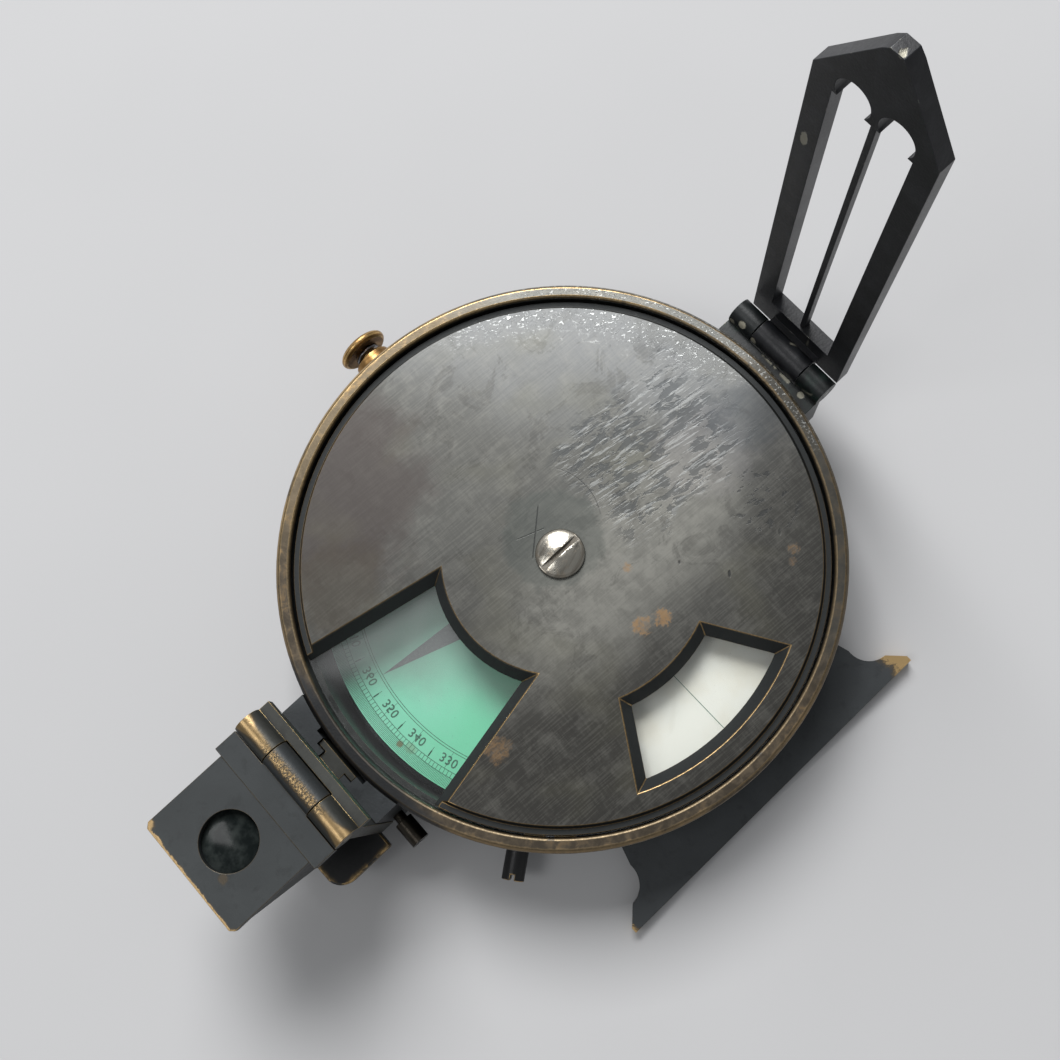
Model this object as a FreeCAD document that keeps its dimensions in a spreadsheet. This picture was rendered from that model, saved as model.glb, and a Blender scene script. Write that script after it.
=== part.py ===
"""Inclinometer: a pocket sighting compass and clinometer in one round brass case.

Millimetres. The origin is the centre of the case's back face, +Z runs up through the case,
+X points from the eye prism to the sighting vane and -Y to the straight base bar.
"""
import FreeCAD, Part
import math
import os
import re

import Sketcher

doc = FreeCAD.newDocument("inclinometer")
sheet = doc.addObject("Spreadsheet::Sheet", "sizes")

SIZES = (
    # case
    ("case_radius", 34.0, "outside radius of the case"),
    ("case_height", 15.0, "back face to the top of the rim"),
    ("wall_thick", 2.4, "case wall, outside to inside"),
    ("rim_width", 1.7, "bezel ring, outside to inside"),
    ("rim_chamfer", 0.4, "outer edge of the bezel ring"),
    ("rim_inner_chamfer", 0.2, "inner edge of the bezel ring"),
    ("seat_gap", 0.02, "clearance of a piece that is seated for good"),
    ("run_gap", 0.05, "radial clearance of a piece that turns or slides"),
    ("free_gap", 0.15, "clearance round a piece that swings past another"),
    ("cover_gap", 0.25, "cover plate to bezel ring"),
    # base plate with its straight bar
    ("base_thick", 2.0, "base plate"),
    ("base_lip", 0.5, "base plate beyond the case wall"),
    ("bar_out", 3.75, "straight edge beyond the case wall"),
    ("bar_half", 23.6, "half the length of the straight edge"),
    ("bar_tip", 0.7, "height of the bar's blunt ends"),
    ("bar_crest", 1.9, "tip of the bar to the crest beside its hollow, along the bar"),
    ("bar_crest_height", 2.6, "crest above the straight edge"),
    ("bar_neck", 4.85, "tip of the bar to its shoulder, along the bar"),
    ("bar_root", 2.4, "shoulder of the bar inside the line of the case wall"),
    ("ogee_radius", 3.15, "hollow at each end of the bar"),
    ("ogee_start", 1.7, "tip of the bar to the centre of its hollow, along the bar"),
    ("ogee_in", 2.0, "centre of the hollow inside the line of the case wall"),
    ("base_screw_radius", 0.6, "base screw shank"),
    ("base_screw_head", 1.3, "base screw head"),
    ("base_screw_sink", 0.7, "depth of the base screw head"),
    ("base_screw_length", 5.5, "base screw, end to end"),
    # cover plate and its two windows
    ("cover_drop", 0.2, "cover plate below the rim"),
    ("cover_thick", 1.6, "cover plate at its middle"),
    ("cover_edge", 1.05, "width of the cover plate's thin edge"),
    ("cover_flange", 0.8, "thickness of the cover plate's edge"),
    ("cover_bevel", 0.3, "bevel round the raised middle"),
    ("window_bevel", 1.3, "slope of the window walls, seen from above"),
    ("card_window_inner", 14.2, "card window, radius of the inner edge"),
    ("card_window_start", 11.3, "card window, distance at which its half width is given"),
    ("card_window_half", 8.6, "card window, half width there"),
    ("card_window_angle", 11.6, "card window, angle of each side to the sight line"),
    ("dial_window_rim", 3.15, "dial window to the edge of the cover plate"),
    ("dial_window_depth", 10.7, "dial window, inner edge to outer edge"),
    ("dial_window_apex", 6.7, "distance at which the dial window's sides would meet"),
    ("dial_window_angle", 32.0, "dial window, angle of each side to its middle line"),
    ("glass_thick", 1.1, "glass under the cover plate"),
    ("glass_edge_gap", 0.1, "glass to bezel ring"),
    # bridge and centre screw
    ("bridge_width", 6.0, "bridge bar"),
    ("bridge_thick", 1.2, "bridge bar"),
    ("bridge_hold", 1.4, "length of each bridge end in the wall"),
    ("bridge_angle", 45.0, "angle of the bridge to the sight line"),
    ("bridge_screw_radius", 0.5, "screws that hold the bridge"),
    ("bridge_screw_length", 3.5, "screws that hold the bridge"),
    ("centre_head_radius", 2.95, "centre screw head"),
    ("centre_head_edge", 0.4, "upright edge of the centre screw head"),
    ("centre_head_rise", 1.05, "full height of the centre screw head"),
    ("centre_shank_radius", 1.25, "centre screw shank"),
    ("centre_slot_width", 0.6, "centre screw slot"),
    ("centre_slot_depth", 0.55, "centre screw slot"),
    # clinometer pendulum
    ("arbor_radius", 1.2, "arbor of the clinometer"),
    ("arbor_length", 2.3, "arbor of the clinometer"),
    ("arbor_head_radius", 1.9, "head that keeps the hub on the arbor"),
    ("arbor_head", 0.4, "thickness of that head"),
    ("hub_radius", 2.6, "clinometer hub"),
    ("hub_low", 0.8, "thick part of the hub"),
    ("hub_spigot", 0.8, "thin part of the hub"),
    ("hub_spigot_radius", 1.9, "thin part of the hub"),
    ("sector_edge_gap", 2.1, "clinometer sector to the case wall"),
    ("sector_thick", 0.3, "clinometer sector"),
    ("sector_span", 80.0, "whole angle of the sector"),
    ("weight_width", 5.3, "clinometer weight, inside to outside"),
    ("weight_edge", 0.7, "weight to the edge of the sector"),
    ("weight_thick", 1.0, "clinometer weight"),
    ("weight_span", 60.0, "whole angle of the weight"),
    # compass card and pivot
    ("post_radius", 3.0, "pivot post at its foot"),
    ("post_top_radius", 1.6, "pivot post at its top"),
    ("post_height", 2.2, "pivot post"),
    ("pin_radius", 0.5, "pivot pin"),
    ("pin_rise", 3.45, "pivot pin above its post"),
    ("pin_depth", 1.4, "pivot pin in its post"),
    ("pin_point_length", 0.9, "length of the pin's point"),
    ("pin_tip_gap", 0.1, "point to the bottom of the jewel"),
    ("card_edge_gap", 1.1, "compass card to the case wall"),
    ("card_thick", 0.35, "compass card"),
    ("card_hang", 1.0, "underside of the card below the pin's point"),
    ("cap_radius", 2.1, "card cap"),
    ("cap_collar_radius", 2.8, "collar of the cap on the card"),
    ("cap_collar", 0.3, "collar of the cap on the card"),
    ("cap_drop", 0.45, "cap below the card"),
    ("cap_crown", 0.45, "cap above its jewel"),
    ("cap_mouth", 1.2, "mouth of the cap's hollow"),
    ("magnet_half", 16.0, "half the length of the magnet bar"),
    ("magnet_width", 4.6, "magnet bar at its middle"),
    ("magnet_end", 2.4, "magnet bar at its ends"),
    ("magnet_thick", 1.2, "magnet bar"),
    ("magnet_eye", 3.4, "round middle of the magnet bar"),
    # card lifter and lock plunger
    ("lock_angle", 217.6, "direction of the lock plunger"),
    ("plunger_level", 1.8, "plunger axis above the base plate"),
    ("plunger_radius", 1.375, "lock plunger outside the case"),
    ("plunger_out", 4.1, "lock plunger beyond the case"),
    ("plunger_collar_radius", 1.6, "collar inside the wall"),
    ("plunger_collar", 0.6, "collar inside the wall"),
    ("plunger_collar_gap", 0.2, "collar to the wall"),
    ("plunger_stem_radius", 0.9, "inner stem of the plunger"),
    ("plunger_nose", 1.5, "length of the plunger's point"),
    ("plunger_tip_out", 2.8, "plunger's point beyond the guide block"),
    ("plunger_slot", 0.5, "width of the slot in the plunger's end"),
    ("plunger_slot_depth", 0.7, "depth of that slot"),
    ("lock_block_room", 9.0, "case wall to the inner face of the guide block"),
    ("lock_block_length", 1.4, "guide block along the plunger"),
    ("lock_block_half", 2.2, "half the width of the guide block"),
    ("lock_block_height", 3.4, "guide block"),
    ("lifter_gap", 0.1, "underside of the lifter above the plunger axis"),
    ("lifter_arm_thick", 0.5, "lifter arm"),
    ("lifter_ring_thick", 0.9, "lifter ring"),
    ("lifter_ring_inner", 3.4, "lifter ring"),
    ("lifter_ring_outer", 5.4, "lifter ring"),
    ("lifter_arm_width", 2.4, "lifter arm"),
    ("lifter_tail_gap", 0.2, "tail of the lifter to the plunger's point"),
    ("fulcrum_back", 9.0, "centre to the lifter's pin"),
    ("fulcrum_rise", 0.5, "lifter's pin above the underside of the lifter"),
    ("fulcrum_eye", 0.85, "eye of the lifter"),
    ("fulcrum_pin", 0.4, "pin of the lifter"),
    ("cheek_thick", 0.8, "cheeks of the lifter's bracket"),
    ("cheek_half", 1.2, "half the length of a cheek"),
    ("cheek_over", 0.8, "cheek above the lifter's pin"),
    ("cheek_gap", 0.1, "cheek to lifter"),
    ("cheek_foot", 0.5, "foot that joins the cheeks"),
    # brake
    ("brake_rise", 0.55, "brake axis above the underside of the card"),
    ("brake_travel", 1.1, "travel of the brake knob"),
    ("brake_shoe_gap", 0.15, "pressed shoe to the card's edge"),
    ("brake_shoe_half", 2.5, "half the width of the shoe"),
    ("brake_shoe_height", 2.8, "shoe, top to bottom"),
    ("brake_shoe_thick", 1.0, "shoe"),
    ("brake_pocket_gap", 0.2, "shoe to its pocket in the wall"),
    ("brake_bush_radius", 2.45, "bush outside"),
    ("brake_bush_out", 3.0, "bush beyond the case"),
    ("brake_bush_floor", 1.05, "bush floor that guides the stem"),
    ("brake_spring_room", 2.0, "radius of the bush's hollow"),
    ("brake_stem_radius", 1.2, "stem of the knob"),
    ("brake_head_gap", 1.3, "bush to the knob's head"),
    ("brake_head_radius", 3.3, "knob head"),
    ("brake_head_thick", 1.1, "knob head"),
    ("brake_head_edge", 0.35, "bevels of the knob head"),
    ("spring_wire", 0.36, "side of the springs' wire"),
    ("brake_coil_radius", 1.6, "middle of the brake spring's coil"),
    ("lock_coil_radius", 1.28, "middle of the lock spring's coil"),
    # sighting vane
    ("vane_axis_out", 3.0, "vane hinge beyond the case wall"),
    ("vane_axis_drop", 1.2, "vane hinge below the rim"),
    ("vane_lean_angle", 1.3, "outward lean of the open vane"),
    ("knuckle_radius", 1.7, "knuckles of the vane hinge"),
    ("hinge_pin_radius", 0.6, "hinge pins"),
    ("bracket_half", 7.6, "half the width of the vane bracket"),
    ("bracket_inner_half", 3.8, "half the width between its knuckles"),
    ("bracket_out", 2.2, "vane bracket beyond the case wall"),
    ("bracket_deep", 9.5, "foot of the vane bracket below the rim"),
    ("bracket_top_drop", 1.8, "bracket's top below the rim"),
    ("ear_in", 1.1, "inner edge of the brackets' ears inside the line of the case wall"),
    ("vane_face", 2.5, "vane's inner face from the hinge axis"),
    ("vane_thick", 1.9, "vane frame"),
    ("vane_half", 7.3, "half the width of the vane"),
    ("vane_foot", 1.7, "vane below the hinge axis"),
    ("vane_head", 1.8, "straight part of the lights to the vane's shoulders"),
    ("vane_peak", 9.1, "vane's shoulders to its tip"),
    ("vane_tip_half", 1.5, "half the width of the blunt tip"),
    ("vane_tip_bevel", 0.8, "height of the tip's rounding"),
    ("stile_width", 2.6, "side stile of the vane"),
    ("sill_height", 3.1, "hinge axis to the vane's sill"),
    ("light_height", 48.0, "straight part of the vane's lights"),
    ("arch_radius", 2.05, "round heads of the lights"),
    ("arch_rise", 1.3, "centre of the heads above the straight part"),
    ("bar_width", 0.7, "upright sight bar"),
    ("bar_depth", 1.0, "upright sight bar, front to back"),
    ("web_low", 1.2, "vane web below the hinge axis"),
    ("web_high", 0.4, "vane web above the hinge axis"),
    # prism sight
    ("guide_half", 8.4, "half the width of the prism guide"),
    ("guide_out", 2.0, "prism guide beyond the case wall"),
    ("slot_out", 0.35, "inner face of the T slot beyond the case wall"),
    ("slot_depth", 0.9, "T slot behind its neck"),
    ("slot_half", 3.0, "half the width of the T slot"),
    ("neck_half", 1.8, "half the width of its neck"),
    ("notch_half", 4.1, "half the width of the guide's notch"),
    ("notch_depth", 3.0, "depth of the guide's notch"),
    ("tongue_low", 6.8, "foot of the slide's tongue"),
    ("tongue_drop", 0.4, "tongue below the guide's top"),
    ("slide_gap", 0.1, "slide to guide"),
    ("slide_thick", 1.8, "slide's upright plate"),
    ("slide_half", 8.5, "half the width of the slide"),
    ("slide_low", 5.0, "foot of the slide"),
    ("prism_axis_out", 3.75, "prism hinge beyond the case wall"),
    ("prism_axis_rise", 8.5, "prism hinge above the rim"),
    ("prism_knuckle", 1.6, "knuckles of the prism hinge"),
    ("prism_inner_half", 3.8, "half the length of the middle knuckle"),
    ("leaf_width", 2.95, "prism hinge to the inner edge of the fixed leaf"),
    ("leaf_thick", 1.5, "fixed leaf"),
    ("leaf_drop", 0.15, "fixed leaf's top below the hinge axis"),
    ("thumb_length", 8.1, "thumb rest beyond the slide"),
    ("thumb_half", 10.5, "half the width of the thumb rest"),
    ("thumb_thick", 1.4, "thumb rest"),
    ("thumb_corner", 2.4, "round corners of the thumb rest"),
    ("clamp_level", 7.0, "clamp screw above the back face"),
    ("clamp_head_radius", 1.15, "clamp screw head"),
    ("clamp_head_start", 1.0, "guide to the clamp screw's head"),
    ("clamp_head_length", 3.2, "clamp screw head"),
    ("clamp_shank", 0.7, "clamp screw shank"),
    ("strip_half", 8.5, "half the width of the plate's hinge strip"),
    ("strip_outer", 4.55, "hinge axis to the step in the prism plate"),
    ("strip_over", 0.05, "strip's face above the hinge axis"),
    ("plate_under", 1.25, "prism plate's underside below the hinge axis"),
    ("plate_drop", 0.25, "step from the strip down to the plate"),
    ("plate_outer", 15.25, "hinge axis to the plate's outer edge"),
    ("plate_half", 7.55, "half the width of the prism plate"),
    ("plate_corner", 0.5, "corner cuts of the prism plate"),
    ("lens_radius", 3.3, "hole in the prism plate"),
    ("lens_offset", 9.55, "hinge axis to the hole"),
    ("housing_half", 7.2, "half the width of the prism housing"),
    ("housing_wall", 0.8, "wall of the prism housing"),
    ("housing_start", 4.9, "hinge axis to the eye face"),
    ("housing_end", 14.9, "hinge axis to the housing's outer end"),
    ("housing_deep", 11.2, "hinge axis to the housing's bottom"),
    ("housing_foot", 1.4, "width of the housing's blunt bottom"),
    ("housing_lip", 1.6, "height of the housing's outer end"),
    ("eye_slit_half", 0.6, "half the width of the eye slit"),
    ("eye_slit_height", 6.0, "eye slit"),
    ("eye_slit_start", 3.2, "hinge axis to the eye slit"),
    ("glass_gap", 0.05, "prism to its housing"),
)

for line, (alias, value, note) in enumerate(SIZES, start=1):
    sheet.set(f"A{line}", note)
    sheet.set(f"B{line}", str(value))
    sheet.setAlias(f"B{line}", alias)
doc.recompute()

NAMES = {alias for alias, value, note in SIZES}
WORD = re.compile(r"[a-z][a-z0-9_]*")

# Levels and places that follow from the sizes.
DERIVED = {
    "glass_top": "case_height - cover_drop - cover_thick",
    "wall_top": "glass_top - glass_thick",
    "wall_inner": "case_radius - wall_thick",
    "rim_inner": "case_radius - rim_width",
    "base_screw_circle": "case_radius - wall_thick / 2",
    "bar_reach": "case_radius + bar_out",
    "bar_crest_x": "bar_half - bar_crest",
    "bar_crest_y": "bar_reach - bar_crest_height",
    "bar_shoulder_x": "bar_half - bar_neck",
    "bar_shoulder_y": "case_radius - bar_root",
    "ogee_x": "bar_half - ogee_start",
    "ogee_y": "case_radius - ogee_in",
    "cover_top": "case_height - cover_drop",
    "cover_radius": "rim_inner - cover_gap",
    "cover_step": "cover_radius - cover_edge",
    "dial_window_outer": "cover_radius - dial_window_rim",
    "dial_window_inner": "dial_window_outer - dial_window_depth",
    "glass_radius": "rim_inner - glass_edge_gap",
    "bridge_low": "wall_top - bridge_thick",
    "bridge_reach": "wall_inner + bridge_hold",
    "arbor_low": "bridge_low - arbor_length",
    "hub_low_face": "arbor_low + arbor_head + run_gap",
    "sector_low": "hub_low_face + hub_low",
    "sector_radius": "wall_inner - sector_edge_gap",
    "weight_outer": "sector_radius - weight_edge",
    "weight_inner": "weight_outer - weight_width",
    "post_top": "base_thick + post_height",
    "pin_tip": "post_top + pin_rise",
    "card_low": "pin_tip - card_hang",
    "card_top": "card_low + card_thick",
    "card_radius": "wall_inner - card_edge_gap",
    "plunger_z": "base_thick + plunger_level",
    "lifter_low": "plunger_z + lifter_gap",
    "fulcrum_z": "lifter_low + fulcrum_rise",
    "collar_out": "wall_inner - plunger_collar_gap",
    "lock_block_inner": "wall_inner - lock_block_room",
    "lock_block_outer": "lock_block_inner + lock_block_length",
    "plunger_tip": "lock_block_inner - plunger_tip_out",
    "lifter_tail": "plunger_tip - lifter_tail_gap",
    "brake_z": "card_low + brake_rise",
    "shoe_face": "card_radius + brake_shoe_gap + brake_travel",
    "shoe_back": "shoe_face + brake_shoe_thick",
    "pocket_back": "shoe_back + brake_pocket_gap",
    "bush_end": "case_radius + brake_bush_out",
    "bush_room": "pocket_back + brake_bush_floor",
    "head_start": "bush_end + brake_head_gap",
    "vane_axis_x": "case_radius + vane_axis_out",
    "vane_z": "case_height - vane_axis_drop",
    "bracket_face": "case_radius + bracket_out",
    "bracket_low": "case_height - bracket_deep",
    "bracket_ear": "case_radius - ear_in",
    "light_half": "vane_half - stile_width",
    "light_middle": "(bar_width / 2 + light_half) / 2",
    "light_top": "sill_height + light_height",
    "vane_shoulder": "light_top + vane_head",
    "vane_tip": "vane_shoulder + vane_peak",
    "guide_face": "case_radius + guide_out",
    "slot_inner": "case_radius + slot_out",
    "slot_neck": "slot_inner + slot_depth",
    "slide_face": "guide_face + slide_gap",
    "slide_outer": "slide_face + slide_thick",
    "clamp_x": "slot_inner + slot_depth / 2",
    "prism_axis_x": "case_radius + prism_axis_out",
    "prism_z": "case_height + prism_axis_rise",
    "leaf_inner": "prism_axis_x - leaf_width",
    "thumb_reach": "slide_outer + thumb_length",
}

TURNS = {
    "x": "rotation(vector(0; 1; 0); 90)",
    "y": "rotation(vector(1; 0; 0); -90)",
    "z": "rotation(vector(0; 0; 1); 0)",
}


def refer(text):
    """Turn the names in an expression into references to the sheet."""

    def swap(found):
        word = found[0]
        if word in DERIVED:
            return f"({refer(DERIVED[word])})"
        return f"<<sizes>>.{word}" if word in NAMES else word

    return WORD.sub(swap, text)


def bind(item, field, text):
    item.setExpression(field, refer(str(text)))


def place(item, at=("0", "0", "0"), turn=TURNS["z"]):
    x, y, z = at
    bind(item, "Placement", f"placement(vector({x}; {y}; {z}); {turn})")
    return item


def about(axis, angle):
    """Rotation expression about a global axis."""
    vector = {"x": "1; 0; 0", "y": "0; 1; 0", "z": "0; 0; 1"}[axis]
    return f"rotation(vector({vector}); {angle})"


def rod(name, radius, length, at=("0", "0", "0"), along="z"):
    item = doc.addObject("Part::Cylinder", name)
    bind(item, "Radius", radius)
    bind(item, "Height", length)
    return place(item, at, TURNS[along])


def wedge_of_disc(name, radius, length, span, start, at=("0", "0", "0")):
    """Part of a disc, from the start angle through the span."""
    item = rod(name, radius, length)
    bind(item, "Angle", span)
    return place(item, at, about("z", start))


def cone(name, low_radius, high_radius, length, at=("0", "0", "0"), along="z"):
    item = doc.addObject("Part::Cone", name)
    bind(item, "Radius1", low_radius)
    bind(item, "Radius2", high_radius)
    bind(item, "Height", length)
    return place(item, at, TURNS[along])


def block(name, size, corner):
    item = doc.addObject("Part::Box", name)
    for field, text in zip(("Length", "Width", "Height"), size):
        bind(item, field, text)
    return place(item, corner)


def centred_block(name, x_from, x_to, half_width, z_from, z_to):
    """Block between two X faces and two Z faces, centred on the sight line."""
    size = (f"({x_to}) - ({x_from})", f"2 * ({half_width})", f"({z_to}) - ({z_from})")
    return block(name, size, (x_from, f"-({half_width})", z_from))


def fuse(name, *parts):
    item = doc.addObject("Part::MultiFuse", name)
    item.Shapes = list(parts)
    item.Refine = True
    return item


def common(name, first, second):
    item = doc.addObject("Part::Common", name)
    item.Base = first
    item.Tool = second
    return item


def cut(name, base, *tools):
    item = doc.addObject("Part::Cut", name)
    item.Base = base
    item.Tool = tools[0] if len(tools) == 1 else fuse(f"{name}_tools", *tools)
    return item


def tube(name, inner, outer, length, at=("0", "0", "0"), along="z"):
    return cut(
        name,
        rod(f"{name}_outside", outer, length, at, along),
        rod(f"{name}_inside", inner, length, at, along),
    )


def new_body(name):
    item = doc.addObject("PartDesign::Body", name)
    doc.recompute()
    return item


def plane_of(body, role):
    return next(part for part in body.Origin.OriginFeatures if part.Role == role)


def outline(body, name, role, corners, lift="0"):
    """Closed polygon on an origin plane, each corner held by two bound distances."""
    sketch = body.newObject("Sketcher::SketchObject", name)
    sketch.AttachmentSupport = [(plane_of(body, role), "")]
    sketch.MapMode = "FlatFace"
    bind(sketch, "AttachmentOffset.Base.z", lift)
    count = len(corners)
    turns = [2 * math.pi * step / count for step in range(count)]
    spots = [FreeCAD.Vector(math.cos(turn), math.sin(turn), 0) for turn in turns]
    for edge in range(count):
        sketch.addGeometry(Part.LineSegment(spots[edge], spots[(edge + 1) % count]))
    for edge in range(count):
        sketch.addConstraint(Sketcher.Constraint("Coincident", edge, 2, (edge + 1) % count, 1))
    for edge, (across, up) in enumerate(corners):
        hold(sketch, "DistanceX", edge, spots[edge].x, across)
        hold(sketch, "DistanceY", edge, spots[edge].y, up)
    return sketch


def hold(sketch, kind, edge, start_value, text):
    """Bind one coordinate of an edge's first point, measured from the origin."""
    index = sketch.addConstraint(Sketcher.Constraint(kind, -1, 1, edge, 1, start_value))
    bind(sketch, f"Constraints[{index}]", text)


def pad(body, sketch, length, both_ways=False):
    item = body.newObject("PartDesign::Pad", f"{body.Name}_pad")
    item.Profile = sketch
    bind(item, "Length", length)
    item.Midplane = both_ways
    return item


def turned_piece(name, corners):
    """Profile in the XZ plane, revolved about the vertical axis."""
    body = new_body(name)
    item = body.newObject("PartDesign::Revolution", f"{name}_turned")
    item.Profile = outline(body, f"{name}_profile", "XZ_Plane", corners)
    item.ReferenceAxis = (item.Profile[0], ["V_Axis"])
    item.Angle = 360
    return body


def lofted(name, lower, upper, low, high):
    """Block with sloping sides between two polygons at two levels."""
    body = new_body(name)
    item = body.newObject("PartDesign::AdditiveLoft", f"{name}_loft")
    item.Profile = outline(body, f"{name}_lower", "XY_Plane", lower, low)
    item.Sections = [outline(body, f"{name}_upper", "XY_Plane", upper, high)]
    item.Ruled = True
    return body


PIECES = []


def piece(item, node):
    """Give a finished sub-part its name."""
    item.Label = node
    PIECES.append(item)
    return item


def group(name, parts, node):
    """Several alike solids under one name."""
    item = doc.addObject("Part::Compound", name)
    item.Links = list(parts)
    return piece(item, node)


# ---------------------------------------------------------------- case

BASE_SCREW_ANGLES = (20, 125, 200, 290)  # clear of the brake and of the lock plunger


def base_screw(name, angle, gap="0"):
    """Countersunk screw up through the base plate into the wall, head flush with the back."""
    at = (f"base_screw_circle * cos({angle})", f"base_screw_circle * sin({angle})", "0")
    head = cone(
        f"{name}_head",
        f"base_screw_head + {gap}",
        f"base_screw_radius + {gap}",
        "base_screw_sink",
        at,
    )
    shank = rod(f"{name}_shank", f"base_screw_radius + {gap}", f"base_screw_length + {gap}", at)
    return fuse(name, head, shank)


def base_screw_ring(name, gap="0"):
    return [base_screw(f"{name}_{angle}", angle, gap) for angle in BASE_SCREW_ANGLES]


def base_plate():
    """Round back of the case with the straight bar that it stands on when it is used on edge."""
    disc = rod("base_disc", "case_radius + base_lip", "base_thick")
    body = new_body("bar_body")
    corners = (
        ("-bar_half", "-bar_reach"),
        ("bar_half", "-bar_reach"),
        ("bar_half", "-bar_reach + bar_tip"),
        ("bar_crest_x", "-bar_crest_y"),
        ("bar_shoulder_x", "-bar_shoulder_y"),
        ("bar_shoulder_x / 2", "0"),
        ("-bar_shoulder_x / 2", "0"),
        ("-bar_shoulder_x", "-bar_shoulder_y"),
        ("-bar_crest_x", "-bar_crest_y"),
        ("-bar_half", "-bar_reach + bar_tip"),
    )
    pad(body, outline(body, "bar_outline", "XY_Plane", corners), "base_thick")
    hollows = [
        rod(f"bar_hollow_{side}", "ogee_radius", "base_thick", (f"{sign}ogee_x", "-ogee_y", "0"))
        for side, sign in (("right", ""), ("left", "-"))
    ]
    plate = fuse("base_shape", disc, cut("bar_shaped", body, *hollows))
    piece(cut("base_cut", plate, *base_screw_ring("base_hole", "seat_gap")), "base_plate")
    group("base_screw_set", base_screw_ring("base_screw"), "base_screws")


def brake_pocket():
    """Pocket inside the wall in which the brake shoe rests."""
    half = "(brake_shoe_half + brake_pocket_gap)"
    start = "(wall_inner - wall_thick / 2)"
    height = "brake_shoe_height + 2 * brake_pocket_gap"
    corner = (f"-{half}", start, "brake_z - brake_shoe_height / 2 - brake_pocket_gap")
    return block("brake_pocket", (f"2 * {half}", f"pocket_back - {start}", height), corner)


def case_wall():
    height = "wall_top - base_thick"
    wall = tube("wall_tube", "wall_inner", "case_radius", height, ("0", "0", "base_thick"))
    bush_at = ("0", "wall_inner", "brake_z")
    bush_hole = rod("bush_hole", "brake_bush_radius + seat_gap", "2 * wall_thick", bush_at, "y")
    plunger_at = ("wall_inner - wall_thick / 2", "0", "plunger_z")
    bore = rod("plunger_bore", "plunger_radius + run_gap", "2 * wall_thick", plunger_at, "x")
    tools = (
        bridge_blank("bridge_rest", "seat_gap"),
        brake_pocket(),
        bush_hole,
        towards_lock(carried("plunger_bore_turned", bore)),
        *base_screw_ring("wall_hole", "seat_gap"),
        *bridge_screw_pair("wall_bridge_hole", "seat_gap"),
    )
    piece(cut("wall_cut", wall, *tools), "case_wall")


def bezel_ring():
    corners = (
        ("rim_inner", "wall_top"),
        ("case_radius", "wall_top"),
        ("case_radius", "case_height - rim_chamfer"),
        ("case_radius - rim_chamfer", "case_height"),
        ("rim_inner + rim_inner_chamfer", "case_height"),
        ("rim_inner", "case_height - rim_inner_chamfer"),
    )
    piece(turned_piece("bezel_body", corners), "bezel_ring")


# ---------------------------------------------------------------- cover


def window_half(start, half, flare, reach, inset):
    """Half width of a window at some distance from the centre, less an inset at its floor."""
    return f"({half} + ({reach} - {start}) * tan({flare}) - {inset} / cos({flare}))"


def card_window_wedge(inset):
    """Corners of the card window's sides, seen from above."""
    flare = ("card_window_start", "card_window_half", "card_window_angle")
    near = "(card_window_inner / 2)"
    near_half = window_half(*flare, near, inset)
    far_half = window_half(*flare, "case_radius", inset)
    return (
        (f"-{near}", f"-{near_half}"),
        (f"-{near}", near_half),
        ("-case_radius", far_half),
        ("-case_radius", f"-{far_half}"),
    )


def dial_window_wedge(inset):
    """Corners of the dial window's sides, seen from above."""
    flare = ("dial_window_apex", "0", "dial_window_angle")
    near = "(dial_window_apex + 3 * window_bevel)"
    near_half = window_half(*flare, near, inset)
    far_half = window_half(*flare, "case_radius", inset)
    return (
        (f"-{near_half}", f"-{near}"),
        (near_half, f"-{near}"),
        (far_half, "-case_radius"),
        (f"-{far_half}", "-case_radius"),
    )


def window_arc(name, radius, slope):
    """Cone for a curved window wall, with its given radius at the top of the cover."""
    low = f"{radius} {slope} window_bevel"
    return cone(name, low, radius, "cover_thick", ("0", "0", "glass_top"))


def card_window():
    """Window over the compass card, open to the rim, with walls that slope inwards."""
    floor = card_window_wedge("window_bevel")
    wedge = lofted("card_wedge", floor, card_window_wedge("0"), "glass_top", "cover_top")
    return cut("card_window", wedge, window_arc("card_window_heart", "card_window_inner", "+"))


def dial_window():
    """Window over the clinometer sector, closed all round, with walls that slope inwards."""
    floor = dial_window_wedge("window_bevel")
    wedge = lofted("dial_wedge", floor, dial_window_wedge("0"), "glass_top", "cover_top")
    reach = window_arc("dial_window_reach", "dial_window_outer", "-")
    heart = window_arc("dial_window_heart", "dial_window_inner", "+")
    return cut("dial_window", common("dial_window_sector", wedge, reach), heart)


def cover_plate():
    """Stepped disc let into the bezel ring."""
    bore = "centre_shank_radius + run_gap"
    flange_top = "glass_top + cover_flange"
    corners = (
        (bore, "glass_top"),
        ("cover_radius", "glass_top"),
        ("cover_radius", flange_top),
        ("cover_step + cover_bevel", flange_top),
        ("cover_step", "cover_top"),
        (bore, "cover_top"),
    )
    disc = turned_piece("cover_body", corners)
    piece(cut("cover_cut", disc, card_window(), dial_window()), "cover_plate")


def cover_glass():
    at = ("0", "0", "wall_top")
    glass = tube("glass_disc", "centre_shank_radius + free_gap", "glass_radius", "glass_thick", at)
    piece(glass, "cover_glass")


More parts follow.
